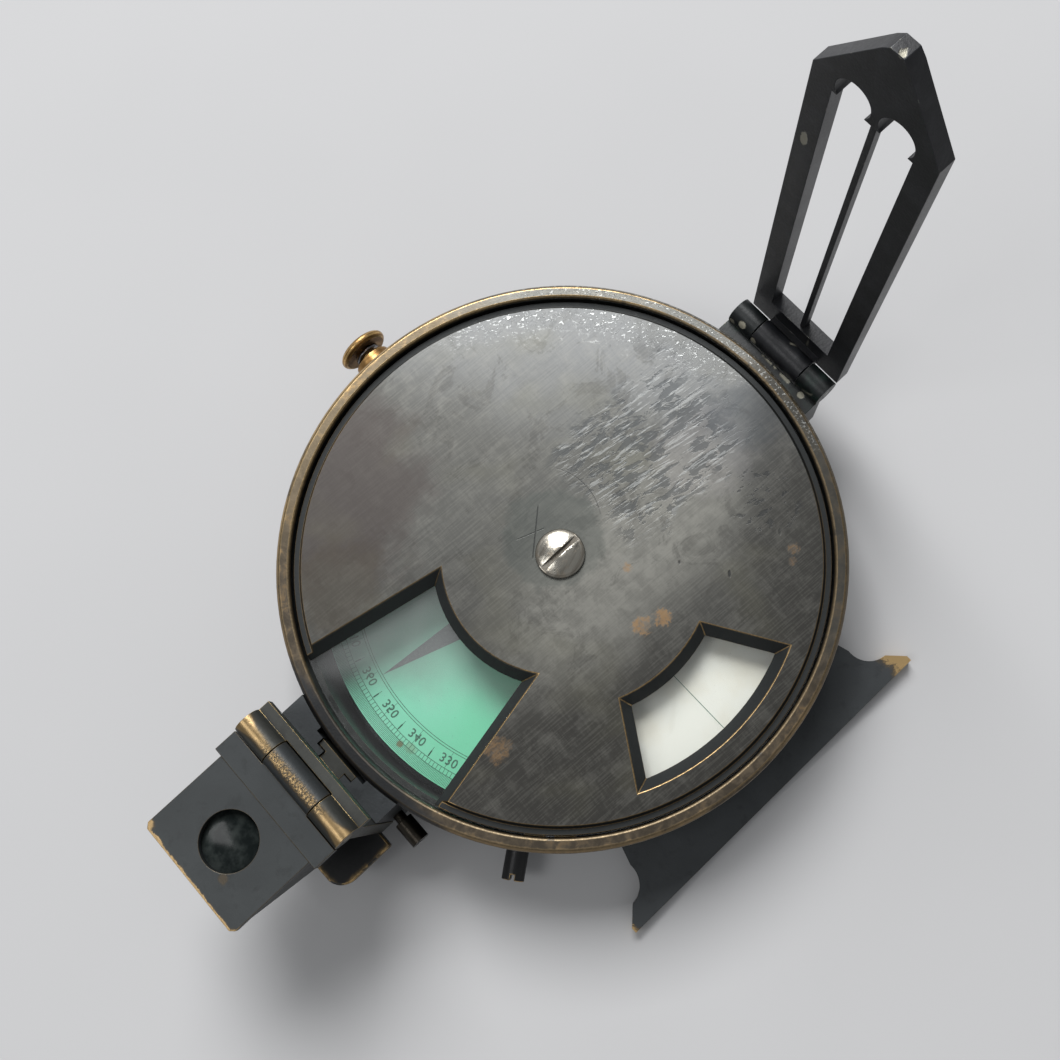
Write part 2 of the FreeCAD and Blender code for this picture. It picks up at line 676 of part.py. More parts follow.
def centre_screw():
    """Domed slotted screw that holds the cover plate and the glass to the bridge."""
    dome_height = "(centre_head_rise - centre_head_edge)"
    dome_radius = f"((centre_head_radius ^ 2 + {dome_height} ^ 2) / (2 * {dome_height}))"
    crown = "(cover_top + centre_head_rise)"
    disc = rod("screw_head_disc", "centre_head_radius", "centre_head_rise", ("0", "0", "cover_top"))
    ball = doc.addObject("Part::Sphere", "screw_dome")
    bind(ball, "Radius", dome_radius)
    place(ball, ("0", "0", f"{crown} - {dome_radius}"))
    foot = "(bridge_low + run_gap)"
    length = f"{crown} - centre_slot_depth - {foot}"
    shank = rod("screw_shank", "centre_shank_radius", length, ("0", "0", foot))
    blank = fuse("screw_blank", common("screw_head", disc, ball), shank)
    slot = centred_block(
        "screw_slot",
        "-centre_head_radius",
        "centre_head_radius",
        "centre_slot_width / 2",
        f"{crown} - centre_slot_depth",
        crown,
    )
    piece(cut("screw_cut", blank, slot), "centre_screw")


# ---------------------------------------------------------------- bridge and clinometer


def bridge_blank(name, gap="0"):
    """Round-ended bar across the case, as it lies in its notches in the wall."""
    width = f"(bridge_width + 2 * {gap})"
    size = (f"2 * (bridge_reach + {gap})", width, "bridge_thick")
    bar = block(f"{name}_bar", size, (f"-(bridge_reach + {gap})", f"-{width} / 2", "bridge_low"))
    ends = rod(f"{name}_ends", f"bridge_reach + {gap}", "bridge_thick", ("0", "0", "bridge_low"))
    return place(common(name, bar, ends), turn=about("z", "bridge_angle"))


def bridge_screw_pair(name, gap="0"):
    """Headless screws down through the bridge's ends into the wall."""
    reach = "(wall_inner + bridge_hold / 2)"
    low = "wall_top - bridge_screw_length"
    pair = []
    for end, turn in (("near", "bridge_angle"), ("far", "(bridge_angle + 180)")):
        at = (f"{reach} * cos({turn})", f"{reach} * sin({turn})", low)
        pair.append(rod(f"{name}_{end}", f"bridge_screw_radius + {gap}", "bridge_screw_length", at))
    return pair


def bridge_bar():
    at = ("0", "0", "bridge_low")
    hole = rod("bridge_hole", "centre_shank_radius + seat_gap", "bridge_thick", at)
    tools = (hole, *bridge_screw_pair("bridge_screw_hole", "seat_gap"))
    piece(cut("bridge_cut", bridge_blank("bridge_shape"), *tools), "bridge_bar")
    group("bridge_screw_set", bridge_screw_pair("bridge_screw"), "bridge_screws")


def clinometer_arbor():
    at = ("0", "0", "arbor_low")
    stem = rod("arbor_stem", "arbor_radius", "arbor_length", at)
    head = rod("arbor_foot", "arbor_head_radius", "arbor_head", at)
    piece(fuse("arbor_shape", stem, head), "clinometer_arbor")


def clinometer_hub():
    at = ("0", "0", "hub_low_face")
    low = rod("hub_base", "hub_radius", "hub_low", at)
    spigot = rod("hub_top", "hub_spigot_radius", "hub_low + hub_spigot", at)
    bore = rod("hub_bore", "arbor_radius + run_gap", "hub_low + hub_spigot", at)
    piece(cut("hub_cut", fuse("hub_shape", low, spigot), bore), "clinometer_hub")


def clinometer_sector():
    """White sector that hangs towards the base bar when the case stands on edge."""
    at = ("0", "0", "sector_low")
    start = "(270 - sector_span / 2)"
    fan = wedge_of_disc("sector_fan", "sector_radius", "sector_thick", "sector_span", start, at)
    eye = rod("sector_eye", "hub_radius", "sector_thick", at)
    hole = rod("sector_hole", "hub_spigot_radius + seat_gap", "sector_thick", at)
    piece(cut("sector_cut", fuse("sector_shape", fan, eye), hole), "clinometer_sector")


def clinometer_weight():
    at = ("0", "0", "sector_low - weight_thick")
    start = "(270 - weight_span / 2)"
    slab = wedge_of_disc("weight_slab", "weight_outer", "weight_thick", "weight_span", start, at)
    inner = rod("weight_hollow", "weight_inner", "weight_thick", at)
    piece(cut("weight_cut", slab, inner), "clinometer_weight")


# ---------------------------------------------------------------- compass


def pivot():
    """Post on the base plate and the hard steel pin on which the card balances."""
    foot = "(post_top - pin_depth)"
    at = ("0", "0", "base_thick")
    post = cone("post_cone", "post_radius", "post_top_radius", "post_height", at)
    hole = rod("post_hole", "pin_radius + seat_gap", "pin_depth", ("0", "0", foot))
    piece(cut("post_cut", post, hole), "pivot_post")
    shoulder = "(pin_tip - pin_point_length)"
    stem = rod("pin_stem", "pin_radius", f"{shoulder} - {foot}", ("0", "0", foot))
    point = cone("pin_point", "pin_radius", "0", "pin_point_length", ("0", "0", shoulder))
    piece(fuse("pin_shape", stem, point), "pivot_pin")


def compass_card():
    at = ("0", "0", "card_low")
    card = tube("card_disc", "cap_radius + seat_gap", "card_radius", "card_thick", at)
    piece(card, "compass_card")


def card_cap():
    """Turned cap with the conical jewel that rides on the pin."""
    foot = "(card_low - cap_drop)"
    apex = "(pin_tip + pin_tip_gap)"
    crown = f"({apex} + cap_crown)"
    corners = (
        ("0", apex),
        ("cap_mouth", foot),
        ("cap_radius", foot),
        ("cap_radius", "card_top"),
        ("cap_collar_radius", "card_top"),
        ("cap_collar_radius", "card_top + cap_collar"),
        ("cap_mouth", crown),
        ("0", crown),
    )
    piece(turned_piece("cap_body", corners), "card_cap")


def card_magnet():
    """Tapered bar with a round middle, fixed under the card."""
    low = "(card_low - magnet_thick)"
    corners = (
        ("0", "-magnet_width / 2"),
        ("magnet_half", "-magnet_end / 2"),
        ("magnet_half", "magnet_end / 2"),
        ("0", "magnet_width / 2"),
        ("-magnet_half", "magnet_end / 2"),
        ("-magnet_half", "-magnet_end / 2"),
    )
    body = new_body("magnet_body")
    pad(body, outline(body, "magnet_outline", "XY_Plane", corners, low), "magnet_thick")
    eye = rod("magnet_eye_disc", "magnet_eye", "magnet_thick", ("0", "0", low))
    hole = rod("magnet_hole", "cap_radius + seat_gap", "magnet_thick", ("0", "0", low))
    piece(cut("magnet_cut", fuse("magnet_shape", body, eye), hole), "card_magnet")


# ---------------------------------------------------------------- card lifter


def carried(name, item):
    """Wrap a placed piece, so that it can be placed a second time."""
    wrap = doc.addObject("Part::Compound", name)
    wrap.Links = [item]
    return wrap


def towards_lock(item):
    """Turn a piece that was drawn along +X to the direction of the lock plunger."""
    return place(item, turn=about("z", "lock_angle"))


def lifter_bracket():
    """Two cheeks on a common foot, and the pin between them."""
    start = "(lifter_arm_width / 2 + cheek_gap)"
    half = f"({start} + cheek_thick)"
    height = "fulcrum_z + cheek_over - base_thick"
    near = "-fulcrum_back - cheek_half"
    cheeks = [
        block(f"cheek_{side}", ("2 * cheek_half", "cheek_thick", height), (near, across, "base_thick"))
        for side, across in (("left", start), ("right", f"-{half}"))
    ]
    foot_size = ("2 * cheek_half", f"2 * {half}", "cheek_foot")
    foot = block("cheek_foot_slab", foot_size, (near, f"-{half}", "base_thick"))
    at = ("-fulcrum_back", f"-{half}", "fulcrum_z")
    hole = rod("cheek_hole", "fulcrum_pin + seat_gap", f"2 * {half}", at, "y")
    piece(towards_lock(cut("cheek_cut", fuse("cheek_shape", *cheeks, foot), hole)), "lifter_bracket")
    pin = rod("lifter_pin_rod", "fulcrum_pin", f"2 * {half}", at, "y")
    piece(towards_lock(carried("lifter_pin_turned", pin)), "lifter_pin")


def card_lifter():
    """Lever with a ring round the pivot post; its tail rides up the plunger's point."""
    at = ("0", "0", "lifter_low")
    arm_size = ("fulcrum_back + lifter_tail", "lifter_arm_width", "lifter_arm_thick")
    arm = block("lifter_arm", arm_size, ("-fulcrum_back", "-lifter_arm_width / 2", "lifter_low"))
    ring = rod("lifter_ring", "lifter_ring_outer", "lifter_ring_thick", at)
    eye_at = ("-fulcrum_back", "-lifter_arm_width / 2", "fulcrum_z")
    eye = rod("lifter_eye", "fulcrum_eye", "lifter_arm_width", eye_at, "y")
    bore = rod("lifter_bore", "lifter_ring_inner", "lifter_ring_thick", at)
    pin_hole = rod("lifter_pin_hole", "fulcrum_pin + run_gap", "lifter_arm_width", eye_at, "y")
    lever = cut("lifter_cut", fuse("lifter_shape", arm, ring, eye), bore, pin_hole)
    piece(towards_lock(lever), "card_lifter")


def lock_plunger():
    """Slotted push pin with a collar inside the wall and a pointed stem."""
    axis = ("0", "plunger_z")
    inner = "(collar_out - plunger_collar)"
    outer = "(case_radius + plunger_out)"
    nose_end = "(plunger_tip + plunger_nose)"
    head = rod("plunger_head", "plunger_radius", f"{outer} - {inner}", (inner, *axis), "x")
    collar = rod("plunger_flange", "plunger_collar_radius", "plunger_collar", (inner, *axis), "x")
    stem = rod("plunger_stem", "plunger_stem_radius", f"{inner} - {nose_end}", (nose_end, *axis), "x")
    nose = cone("plunger_point", "0", "plunger_stem_radius", "plunger_nose", ("plunger_tip", *axis), "x")
    slot = centred_block(
        "plunger_slot_cut",
        f"{outer} - plunger_slot_depth",
        outer,
        "plunger_slot / 2",
        "plunger_z - plunger_radius",
        "plunger_z + plunger_radius",
    )
    plunger = cut("plunger_shape", fuse("plunger_blank", head, collar, stem, nose), slot)
    piece(towards_lock(plunger), "lock_plunger")


def lock_guide():
    """Block on the base plate that guides the plunger's stem and backs its spring."""
    top = "(base_thick + lock_block_height)"
    inner = "lock_block_inner"
    slab = centred_block("lock_slab", inner, "lock_block_outer", "lock_block_half", "base_thick", top)
    at = (inner, "0", "plunger_z")
    hole = rod("lock_slab_hole", "plunger_stem_radius + run_gap", "lock_block_length", at, "x")
    piece(towards_lock(cut("lock_guide_cut", slab, hole)), "lock_guide")


# ---------------------------------------------------------------- springs


def value_of(text):
    """Length that an expression of sizes comes to, read from a scratch cylinder."""
    gauge = doc.addObject("Part::Cylinder", "gauge")
    bind(gauge, "Height", text)
    doc.recompute()
    result = gauge.Height.Value
    doc.removeObject(gauge.Name)
    return result


def coil_spring(name, node, radius, length, turns, place_at):
    """Open coil of square wire about local Z: ruled faces between turned square sections."""
    steps_per_turn = 9
    wire = value_of("spring_wire") / 2
    middle_radius = value_of(radius)
    count = turns * steps_per_turn
    rise = (value_of(length) - 2 * wire) / count
    up = FreeCAD.Vector(0, 0, 1)
    sections = []
    for step in range(count + 1):
        angle = 2 * math.pi * step / steps_per_turn
        out = FreeCAD.Vector(math.cos(angle), math.sin(angle), 0)
        middle = out * middle_radius + up * (wire + rise * step)
        corners = [
            middle + out * (wire * across) + up * (wire * high)
            for across, high in ((1, 1), (-1, 1), (-1, -1), (1, -1))
        ]
        sections.append(Part.makePolygon(corners + corners[:1]))
    item = doc.addObject("Part::Feature", name)
    item.Shape = Part.makeLoft(sections, True, True)
    item.Placement = place_at
    piece(item, node)


def brake_spring():
    """Spring between the floor of the bush and the knob's head."""
    floor = "(bush_room + seat_gap)"
    spot = FreeCAD.Vector(0, value_of(floor), value_of("brake_z"))
    lie = FreeCAD.Rotation(FreeCAD.Vector(1, 0, 0), -90)
    length = f"head_start - {floor} - seat_gap"
    coil_spring("brake_coil", "brake_spring", "brake_coil_radius", length, 5, FreeCAD.Placement(spot, lie))


def lock_spring():
    """Spring round the plunger's stem, between the guide block and the collar."""
    start = "(lock_block_outer + seat_gap)"
    length = f"collar_out - plunger_collar - {start} - seat_gap"
    lie = FreeCAD.Rotation(FreeCAD.Vector(0, 1, 0), 90)
    flat = FreeCAD.Placement(FreeCAD.Vector(value_of(start), 0, value_of("plunger_z")), lie)
    swing = FreeCAD.Rotation(FreeCAD.Vector(0, 0, 1), value_of("lock_angle"))
    turned = FreeCAD.Placement(FreeCAD.Vector(), swing).multiply(flat)
    coil_spring("lock_coil", "lock_spring", "lock_coil_radius", length, 6, turned)


# ---------------------------------------------------------------- brake


def brake_bush():
    """Bush in the case wall with a floor that guides the stem and room for the spring."""
    start = ("0", "pocket_back", "brake_z")
    length = "bush_end - pocket_back"
    blank = rod("bush_blank", "brake_bush_radius", length, start, "y")
    bore = rod("bush_bore", "brake_stem_radius + run_gap", length, start, "y")
    room_at = ("0", "bush_room", "brake_z")
    room = rod("bush_hollow", "brake_spring_room", "bush_end - bush_room", room_at, "y")
    piece(cut("bush_cut", blank, bore, room), "brake_bush")


def brake_knob():
    """Mushroom knob on a stem; pushed in, it lays the shoe against the card's edge."""
    start = ("0", "shoe_back", "brake_z")
    stem = rod("knob_stem", "brake_stem_radius", "head_start - shoe_back", start, "y")
    crown = "brake_head_radius - brake_head_edge"
    rim = "brake_head_thick - 2 * brake_head_edge"
    levels = ("head_start", "head_start + brake_head_edge", f"head_start + brake_head_edge + {rim}")
    under, middle, over = (("0", level, "brake_z") for level in levels)
    head = (
        cone("knob_under", crown, "brake_head_radius", "brake_head_edge", under, "y"),
        rod("knob_rim", "brake_head_radius", rim, middle, "y"),
        cone("knob_crown", "brake_head_radius", crown, "brake_head_edge", over, "y"),
    )
    piece(fuse("knob_shape", stem, *head), "brake_knob")


def brake_shoe():
    size = ("2 * brake_shoe_half", "brake_shoe_thick", "brake_shoe_height")
    corner = ("-brake_shoe_half", "shoe_face", "brake_z - brake_shoe_height / 2")
    piece(block("shoe_block", size, corner), "brake_shoe")


# ---------------------------------------------------------------- sighting vane


def vane_bracket():
    """Bracket on the case wall with two knuckles and a hollow for the vane's own knuckle."""
    top = "(case_height - bracket_top_drop)"
    half = "bracket_half"
    blank = centred_block("bracket_blank", "bracket_ear", "bracket_face", half, "bracket_low", top)
    pin_at = ("vane_axis_x", "-bracket_half", "vane_z")
    knuckles = rod("bracket_knuckles", "knuckle_radius", "2 * bracket_half", pin_at, "y")
    reach = "bracket_inner_half + free_gap"
    hollow_at = ("vane_axis_x", f"-({reach})", "vane_z")
    hollow = rod("bracket_hollow", "knuckle_radius + free_gap", f"2 * ({reach})", hollow_at, "y")
    pin_hole = rod("bracket_pin_hole", "hinge_pin_radius + seat_gap", "2 * bracket_half", pin_at, "y")
    seat = rod("bracket_seat", "case_radius", "case_height")
    shape = fuse("bracket_shape", blank, knuckles)
    piece(cut("bracket_cut", shape, seat, hollow, pin_hole), "vane_bracket")
    pin = rod("vane_pin_rod", "hinge_pin_radius", "2 * bracket_half", pin_at, "y")
    piece(pin, "vane_hinge_pin")


def vane_plate():
    """Pentagonal plate, drawn upright from the hinge axis."""
    corners = (
        ("-vane_half", "-vane_foot"),
        ("vane_half", "-vane_foot"),
        ("vane_half", "vane_shoulder"),
        ("vane_tip_half", "vane_tip - vane_tip_bevel"),
        ("vane_tip_half / 2", "vane_tip"),
        ("-vane_tip_half / 2", "vane_tip"),
        ("-vane_tip_half", "vane_tip - vane_tip_bevel"),
        ("-vane_half", "vane_shoulder"),
    )
    body = new_body("vane_body")
    pad(body, outline(body, "vane_outline", "YZ_Plane", corners, "vane_face"), "vane_thick")
    return body


def vane_lights():
    """Opening of the vane: a straight part and two round heads."""
    straight = block(
        "light_straight",
        ("vane_thick", "2 * light_half", "light_height"),
        ("vane_face", "-light_half", "sill_height"),
    )
    heads = [
        rod(
            f"light_head_{side}",
            "arch_radius",
            "vane_thick",
            ("vane_face", f"{sign}light_middle", "light_top + arch_rise"),
            "x",
        )
        for side, sign in (("left", ""), ("right", "-"))
    ]
    return fuse("vane_lights", straight, *heads)


def upright(item):
    """Move a piece that was drawn at the hinge axis to the vane, leaning outwards."""
    return place(item, ("vane_axis_x", "0", "vane_z"), about("y", "vane_lean_angle"))


def vane_frame():
    inner = "bracket_inner_half"
    at = ("0", f"-{inner}", "0")
    knuckle = rod("vane_knuckle", "knuckle_radius", f"2 * {inner}", at, "y")
    web = centred_block("vane_web", "0", "vane_face + vane_thick / 2", inner, "-web_low", "web_high")
    pin_hole = rod("vane_pin_hole", "hinge_pin_radius + run_gap", f"2 * {inner}", at, "y")
    pierced = cut("vane_pierced", vane_plate(), vane_lights())
    frame = cut("vane_cut", fuse("vane_shape", pierced, knuckle, web), pin_hole)
    piece(upright(frame), "vane_frame")


def vane_bar():
    """Upright sight bar between the sill and the head of the vane."""
    size = ("bar_depth", "bar_width", "light_height")
    corner = ("vane_face + (vane_thick - bar_depth) / 2", "-bar_width / 2", "sill_height")
    piece(upright(carried("vane_bar_shape", block("vane_bar_block", size, corner))), "vane_bar")


# ---------------------------------------------------------------- prism sight


def prism_guide():
    """Upright block on the case wall with a T slot for the slide and a notch at its top."""
    low = "base_thick"
    top = "case_height"
    blank = centred_block("guide_blank", "-guide_face", "-bracket_ear", "guide_half", low, top)
    notch_low = "case_height - notch_depth"
    clamp_at = ("-clamp_x", "-guide_half", "clamp_level")
    tools = (
        rod("guide_seat", "case_radius", "case_height"),
        centred_block("slot_wide", "-slot_neck", "-slot_inner", "slot_half", low, top),
        centred_block("slot_narrow", "-guide_face", "-slot_inner", "neck_half", low, top),
        centred_block("guide_notch", "-slot_inner", "-bracket_ear", "notch_half", notch_low, top),
        rod("clamp_hole", "clamp_shank + seat_gap", "guide_half", clamp_at, "y"),
    )
    piece(cut("guide_cut", blank, *tools), "prism_guide")


def slide_clamp_screw():
    """Screw in the side of the guide that nips the slide's tongue."""
    end = "(slot_half + free_gap)"
    head_at = "(guide_half + clamp_head_start)"
    shank_at = ("-clamp_x", f"-{head_at}", "clamp_level")
    shank = rod("clamp_rod", "clamp_shank", f"{head_at} - {end}", shank_at, "y")
    tail = ("-clamp_x", f"-({head_at} + clamp_head_length)", "clamp_level")
    head = rod("clamp_head", "clamp_head_radius", "clamp_head_length", tail, "y")
    piece(fuse("clamp_shape", shank, head), "slide_clamp_screw")


def prism_slide():
    """Carriage: T tongue, upright plate, and at its top the fixed leaf with two knuckles."""
    top = "(case_height - tongue_drop)"
    leaf_top = "(prism_z - leaf_drop)"
    inner_face = "(slot_inner + slide_gap)"
    neck = "(slot_neck - slide_gap)"
    wide = "slot_half - slide_gap"
    narrow = "neck_half - slide_gap"
    tongue = centred_block("tongue_wide", f"-{neck}", f"-{inner_face}", wide, "tongue_low", top)
    stalk = centred_block("tongue_neck", "-slide_face", f"-{inner_face}", narrow, "tongue_low", top)
    plate = centred_block("slide_plate", "-slide_outer", "-slide_face", "slide_half", "slide_low", leaf_top)
    leaf_low = f"{leaf_top} - leaf_thick"
    leaf = centred_block("slide_leaf", "-prism_axis_x", "-leaf_inner", "slide_half", leaf_low, leaf_top)
    axis = ("-prism_axis_x", "-slide_half", "prism_z")
    barrel = rod("slide_barrel", "prism_knuckle", "2 * slide_half", axis, "y")
    reach = "(prism_inner_half + run_gap)"
    gap_at = ("-prism_axis_x", f"-{reach}", "prism_z")
    room = rod("slide_room", "prism_knuckle + free_gap", f"2 * {reach}", gap_at, "y")
    pin_hole = rod("slide_pin_hole", "hinge_pin_radius + seat_gap", "2 * slide_half", axis, "y")
    shape = fuse("slide_shape", tongue, stalk, plate, leaf, barrel)
    piece(cut("slide_cut", shape, room, pin_hole), "prism_slide")
    piece(rod("prism_pin_rod", "hinge_pin_radius", "2 * slide_half", axis, "y"), "prism_hinge_pin")


def thumb_rest():
    """Shelf at the foot of the slide, with two round outer corners."""
    top = "(slide_low + thumb_thick)"
    size_inner = "(thumb_reach - thumb_corner)"
    low = "slide_low"
    shelf = centred_block("shelf_inner", f"-{size_inner}", "-slide_outer", "thumb_half", low, top)
    lip_half = "thumb_half - thumb_corner"
    lip = centred_block("shelf_outer", "-thumb_reach", "-slide_outer", lip_half, low, top)
    corners = []
    for side, sign in (("left", ""), ("right", "-")):
        at = (f"-{size_inner}", f"{sign}({lip_half})", low)
        corners.append(rod(f"shelf_corner_{side}", "thumb_corner", "thumb_thick", at))
    piece(fuse("shelf_shape", shelf, lip, *corners), "thumb_rest")


def from_prism_axis(distance):
    """X of a point that lies outwards of the prism's hinge."""
    return f"-(prism_axis_x + {distance})"


def prism_plate():
    """Hinged plate with the reading hole, its raised strip and the middle knuckle."""
    under = "(prism_z - plate_under)"
    strip_top = "(prism_z + strip_over)"
    plate_top = f"({strip_top} - plate_drop)"
    step = from_prism_axis("strip_outer")
    edge = from_prism_axis("plate_outer")
    clear = from_prism_axis("(prism_knuckle + free_gap)")
    corners = (
        (step, "-plate_half"),
        (step, "plate_half"),
        (f"{edge} + plate_corner", "plate_half"),
        (edge, "plate_half - plate_corner"),
        (edge, "-plate_half + plate_corner"),
        (f"{edge} + plate_corner", "-plate_half"),
    )
    body = new_body("plate_body")
    pad(body, outline(body, "plate_outline", "XY_Plane", corners, under), f"{plate_top} - {under}")
    strip = centred_block("plate_strip", step, clear, "strip_half", under, strip_top)
    inner = "(prism_inner_half - run_gap)"
    knuckle_at = ("-prism_axis_x", f"-{inner}", "prism_z")
    knuckle = rod("plate_knuckle", "prism_knuckle", f"2 * {inner}", knuckle_at, "y")
    web = centred_block("plate_web", clear, "-prism_axis_x", inner, under, strip_top)
    pin_hole = rod("plate_pin_hole", "hinge_pin_radius + run_gap", f"2 * {inner}", knuckle_at, "y")
    lens_at = (from_prism_axis("lens_offset"), "0", under)
    lens = rod("plate_lens", "lens_radius", f"{strip_top} - {under}", lens_at)
    shape = fuse("plate_shape", body, strip, knuckle, web)
    piece(cut("plate_cut", shape, pin_hole, lens), "prism_plate")


def prism_profile(name, half, inset, depth):
    """Triangular block under the prism plate, each wall drawn in by the inset."""
    top = "(prism_z - plate_under)"
    slant = f"({inset} * 1.4142)"
    start = from_prism_axis(f"(housing_start + {inset})")
    end = from_prism_axis(f"(housing_end - {inset})")
    bottom = f"(prism_z - housing_deep + {inset} + {depth})"
    corners = (
        (start, top),
        (end, top),
        (end, f"{top} - housing_lip + {slant} - {inset}"),
        (from_prism_axis(f"(housing_start + housing_foot + {slant} - {inset})"), bottom),
        (start, bottom),
    )
    body = new_body(name)
    pad(body, outline(body, f"{name}_outline", "XZ_Plane", corners), f"2 * ({half})", both_ways=True)
    return body


def prism_housing():
    """Folded sheet box that holds the prism under the plate, with the eye slit in its face."""
    shell = prism_profile("housing_blank", "housing_half", "0", "0")
    hollow = prism_profile("housing_hollow", "housing_half - housing_wall", "housing_wall", "0")
    slit = centred_block(
        "eye_slit",
        from_prism_axis("(housing_start + housing_wall)"),
        from_prism_axis("housing_start"),
        "eye_slit_half",
        "prism_z - eye_slit_start - eye_slit_height",
        "prism_z - eye_slit_start",
    )
    piece(cut("housing_cut", shell, hollow, slit), "prism_housing")


def prism_glass():
    inset = "(housing_wall + glass_gap)"
    piece(prism_profile("prism_body", "housing_half - housing_wall - glass_gap", inset, "0"), "prism_glass")


# ---------------------------------------------------------------- build

MAKERS = (
    base_plate,
    case_wall,
    bezel_ring,
    cover_plate,
    cover_glass,
    centre_screw,
    bridge_bar,
    clinometer_arbor,
    clinometer_hub,
    clinometer_sector,
    clinometer_weight,
    pivot,
    compass_card,
    card_cap,
    card_magnet,
    lifter_bracket,
    card_lifter,
    lock_plunger,
    lock_guide,
    lock_spring,
    brake_bush,
    brake_knob,
    brake_shoe,
    brake_spring,
    vane_bracket,
    vane_frame,
    vane_bar,
    prism_guide,
    slide_clamp_screw,
    prism_slide,
    thumb_rest,
    prism_plate,
    prism_housing,
    prism_glass,
)


def check(items):
    """Stop if a feature failed or a finished sub-part has no sound shape."""
    for item in doc.Objects:
        if {"Invalid", "Error"} & set(item.State):
            raise RuntimeError(f"{item.Label} failed: {item.State}")
    for item in items:
        if item.Shape.isNull() or not item.Shape.isValid() or not item.Shape.Solids:
            raise RuntimeError(f"{item.Label} has no valid solid")


for make in MAKERS:
    make()
doc.recompute()
check(PIECES)
os.makedirs("parts", exist_ok=True)
for item in PIECES:
    item.Shape.exportStep(f"parts/{item.Label}.step")
    print(f"{item.Label}: {len(item.Shape.Solids)} solid(s), {item.Shape.Volume:.2f} mm3")
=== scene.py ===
"""Looks of a pocket inclinometer: a sighting compass and clinometer in one old round brass case.

Metres. The case lies on its back at z = 0, +X points from the eye prism to the sighting vane,
-Y to the straight edge bar and +Z out of the cover. Patterns are worked out in millimetres.
"""
import functools
import math

import bpy
import numpy as np
from bpy.props import FloatProperty, FloatVectorProperty, IntProperty, PointerProperty
from mathutils import Matrix, Vector


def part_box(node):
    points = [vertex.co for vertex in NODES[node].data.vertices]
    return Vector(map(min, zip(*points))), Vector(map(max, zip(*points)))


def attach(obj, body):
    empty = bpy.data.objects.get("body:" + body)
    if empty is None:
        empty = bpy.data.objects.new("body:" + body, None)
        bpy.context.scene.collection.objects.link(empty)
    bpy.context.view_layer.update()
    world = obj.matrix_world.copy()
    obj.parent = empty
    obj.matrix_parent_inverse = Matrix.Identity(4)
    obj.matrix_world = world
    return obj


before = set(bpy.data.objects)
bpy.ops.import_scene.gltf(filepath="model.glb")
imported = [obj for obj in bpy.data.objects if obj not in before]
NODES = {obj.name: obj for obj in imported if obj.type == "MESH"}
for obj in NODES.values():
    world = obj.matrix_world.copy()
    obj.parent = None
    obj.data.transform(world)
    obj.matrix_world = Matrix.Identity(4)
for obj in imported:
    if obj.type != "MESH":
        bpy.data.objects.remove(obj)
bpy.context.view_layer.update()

bl_info = {
    "name": "Inclinometer finish",
    "version": (1, 0, 0),
    "blender": (4, 5, 0),
    "location": "3D View > Sidebar > Inclinometer",
    "description": "Dresses a pocket inclinometer: old brass, lacquer, printed card, glass and a studio",
    "category": "Object",
}

MM = 0.001
CARD_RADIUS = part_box("compass_card")[1][0]
CARD_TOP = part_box("compass_card")[1][2]
SECTOR_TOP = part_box("clinometer_sector")[1][2]
SECTOR_REACH = -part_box("clinometer_sector")[0][1]

# CAD pieces: corners and flats that are one, what counts as an edge, and how far flats rule the shading
SAME_CORNER = 0.0005 * MM
SAME_FLAT = math.radians(0.6)
REAL_EDGE = math.radians(32.0)
FLATS_WEIGHT = 60

# the dial's font: size and boldness as shares of a number's height, width and spacing as shares of the
# font's own, and steps along a curve
FONT_SIZE = 1.38
FONT_BOLD = 0.018
FONT_WIDE = 0.97
FONT_SPACE = 1.05
FONT_STEPS = 3


def top_of(node):
    """Level of a CAD node's top, in millimetres."""
    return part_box(node)[1][2] / MM


def shade(red, green, blue):
    """A colour given as 0 to 255 display values, as the linear values that a shader takes."""
    shares = (red / 255, green / 255, blue / 255)
    return tuple(v / 12.92 if v <= 0.04045 else ((v + 0.055) / 1.055) ** 2.4 for v in shares)


def toned(colour, share, lift=0.0):
    """A linear colour times share and raised by lift."""
    return tuple(min(1.0, v * share + lift) for v in colour)


# ---------------------------------------------------------------- sizes and colours


def length(name, description, default):
    """A size that a user may change, in metres."""
    return FloatProperty(name=name, description=description, default=default, unit="LENGTH", precision=5)


def angle(name, description, degrees):
    """An angle that a user may change."""
    return FloatProperty(name=name, description=description, default=math.radians(degrees), subtype="ANGLE")


def paint(name, description, display):
    """A colour that a user may change, given as 0 to 255 display values."""
    return FloatVectorProperty(
        name=name, description=description, default=shade(*display), subtype="COLOR", min=0, max=1)


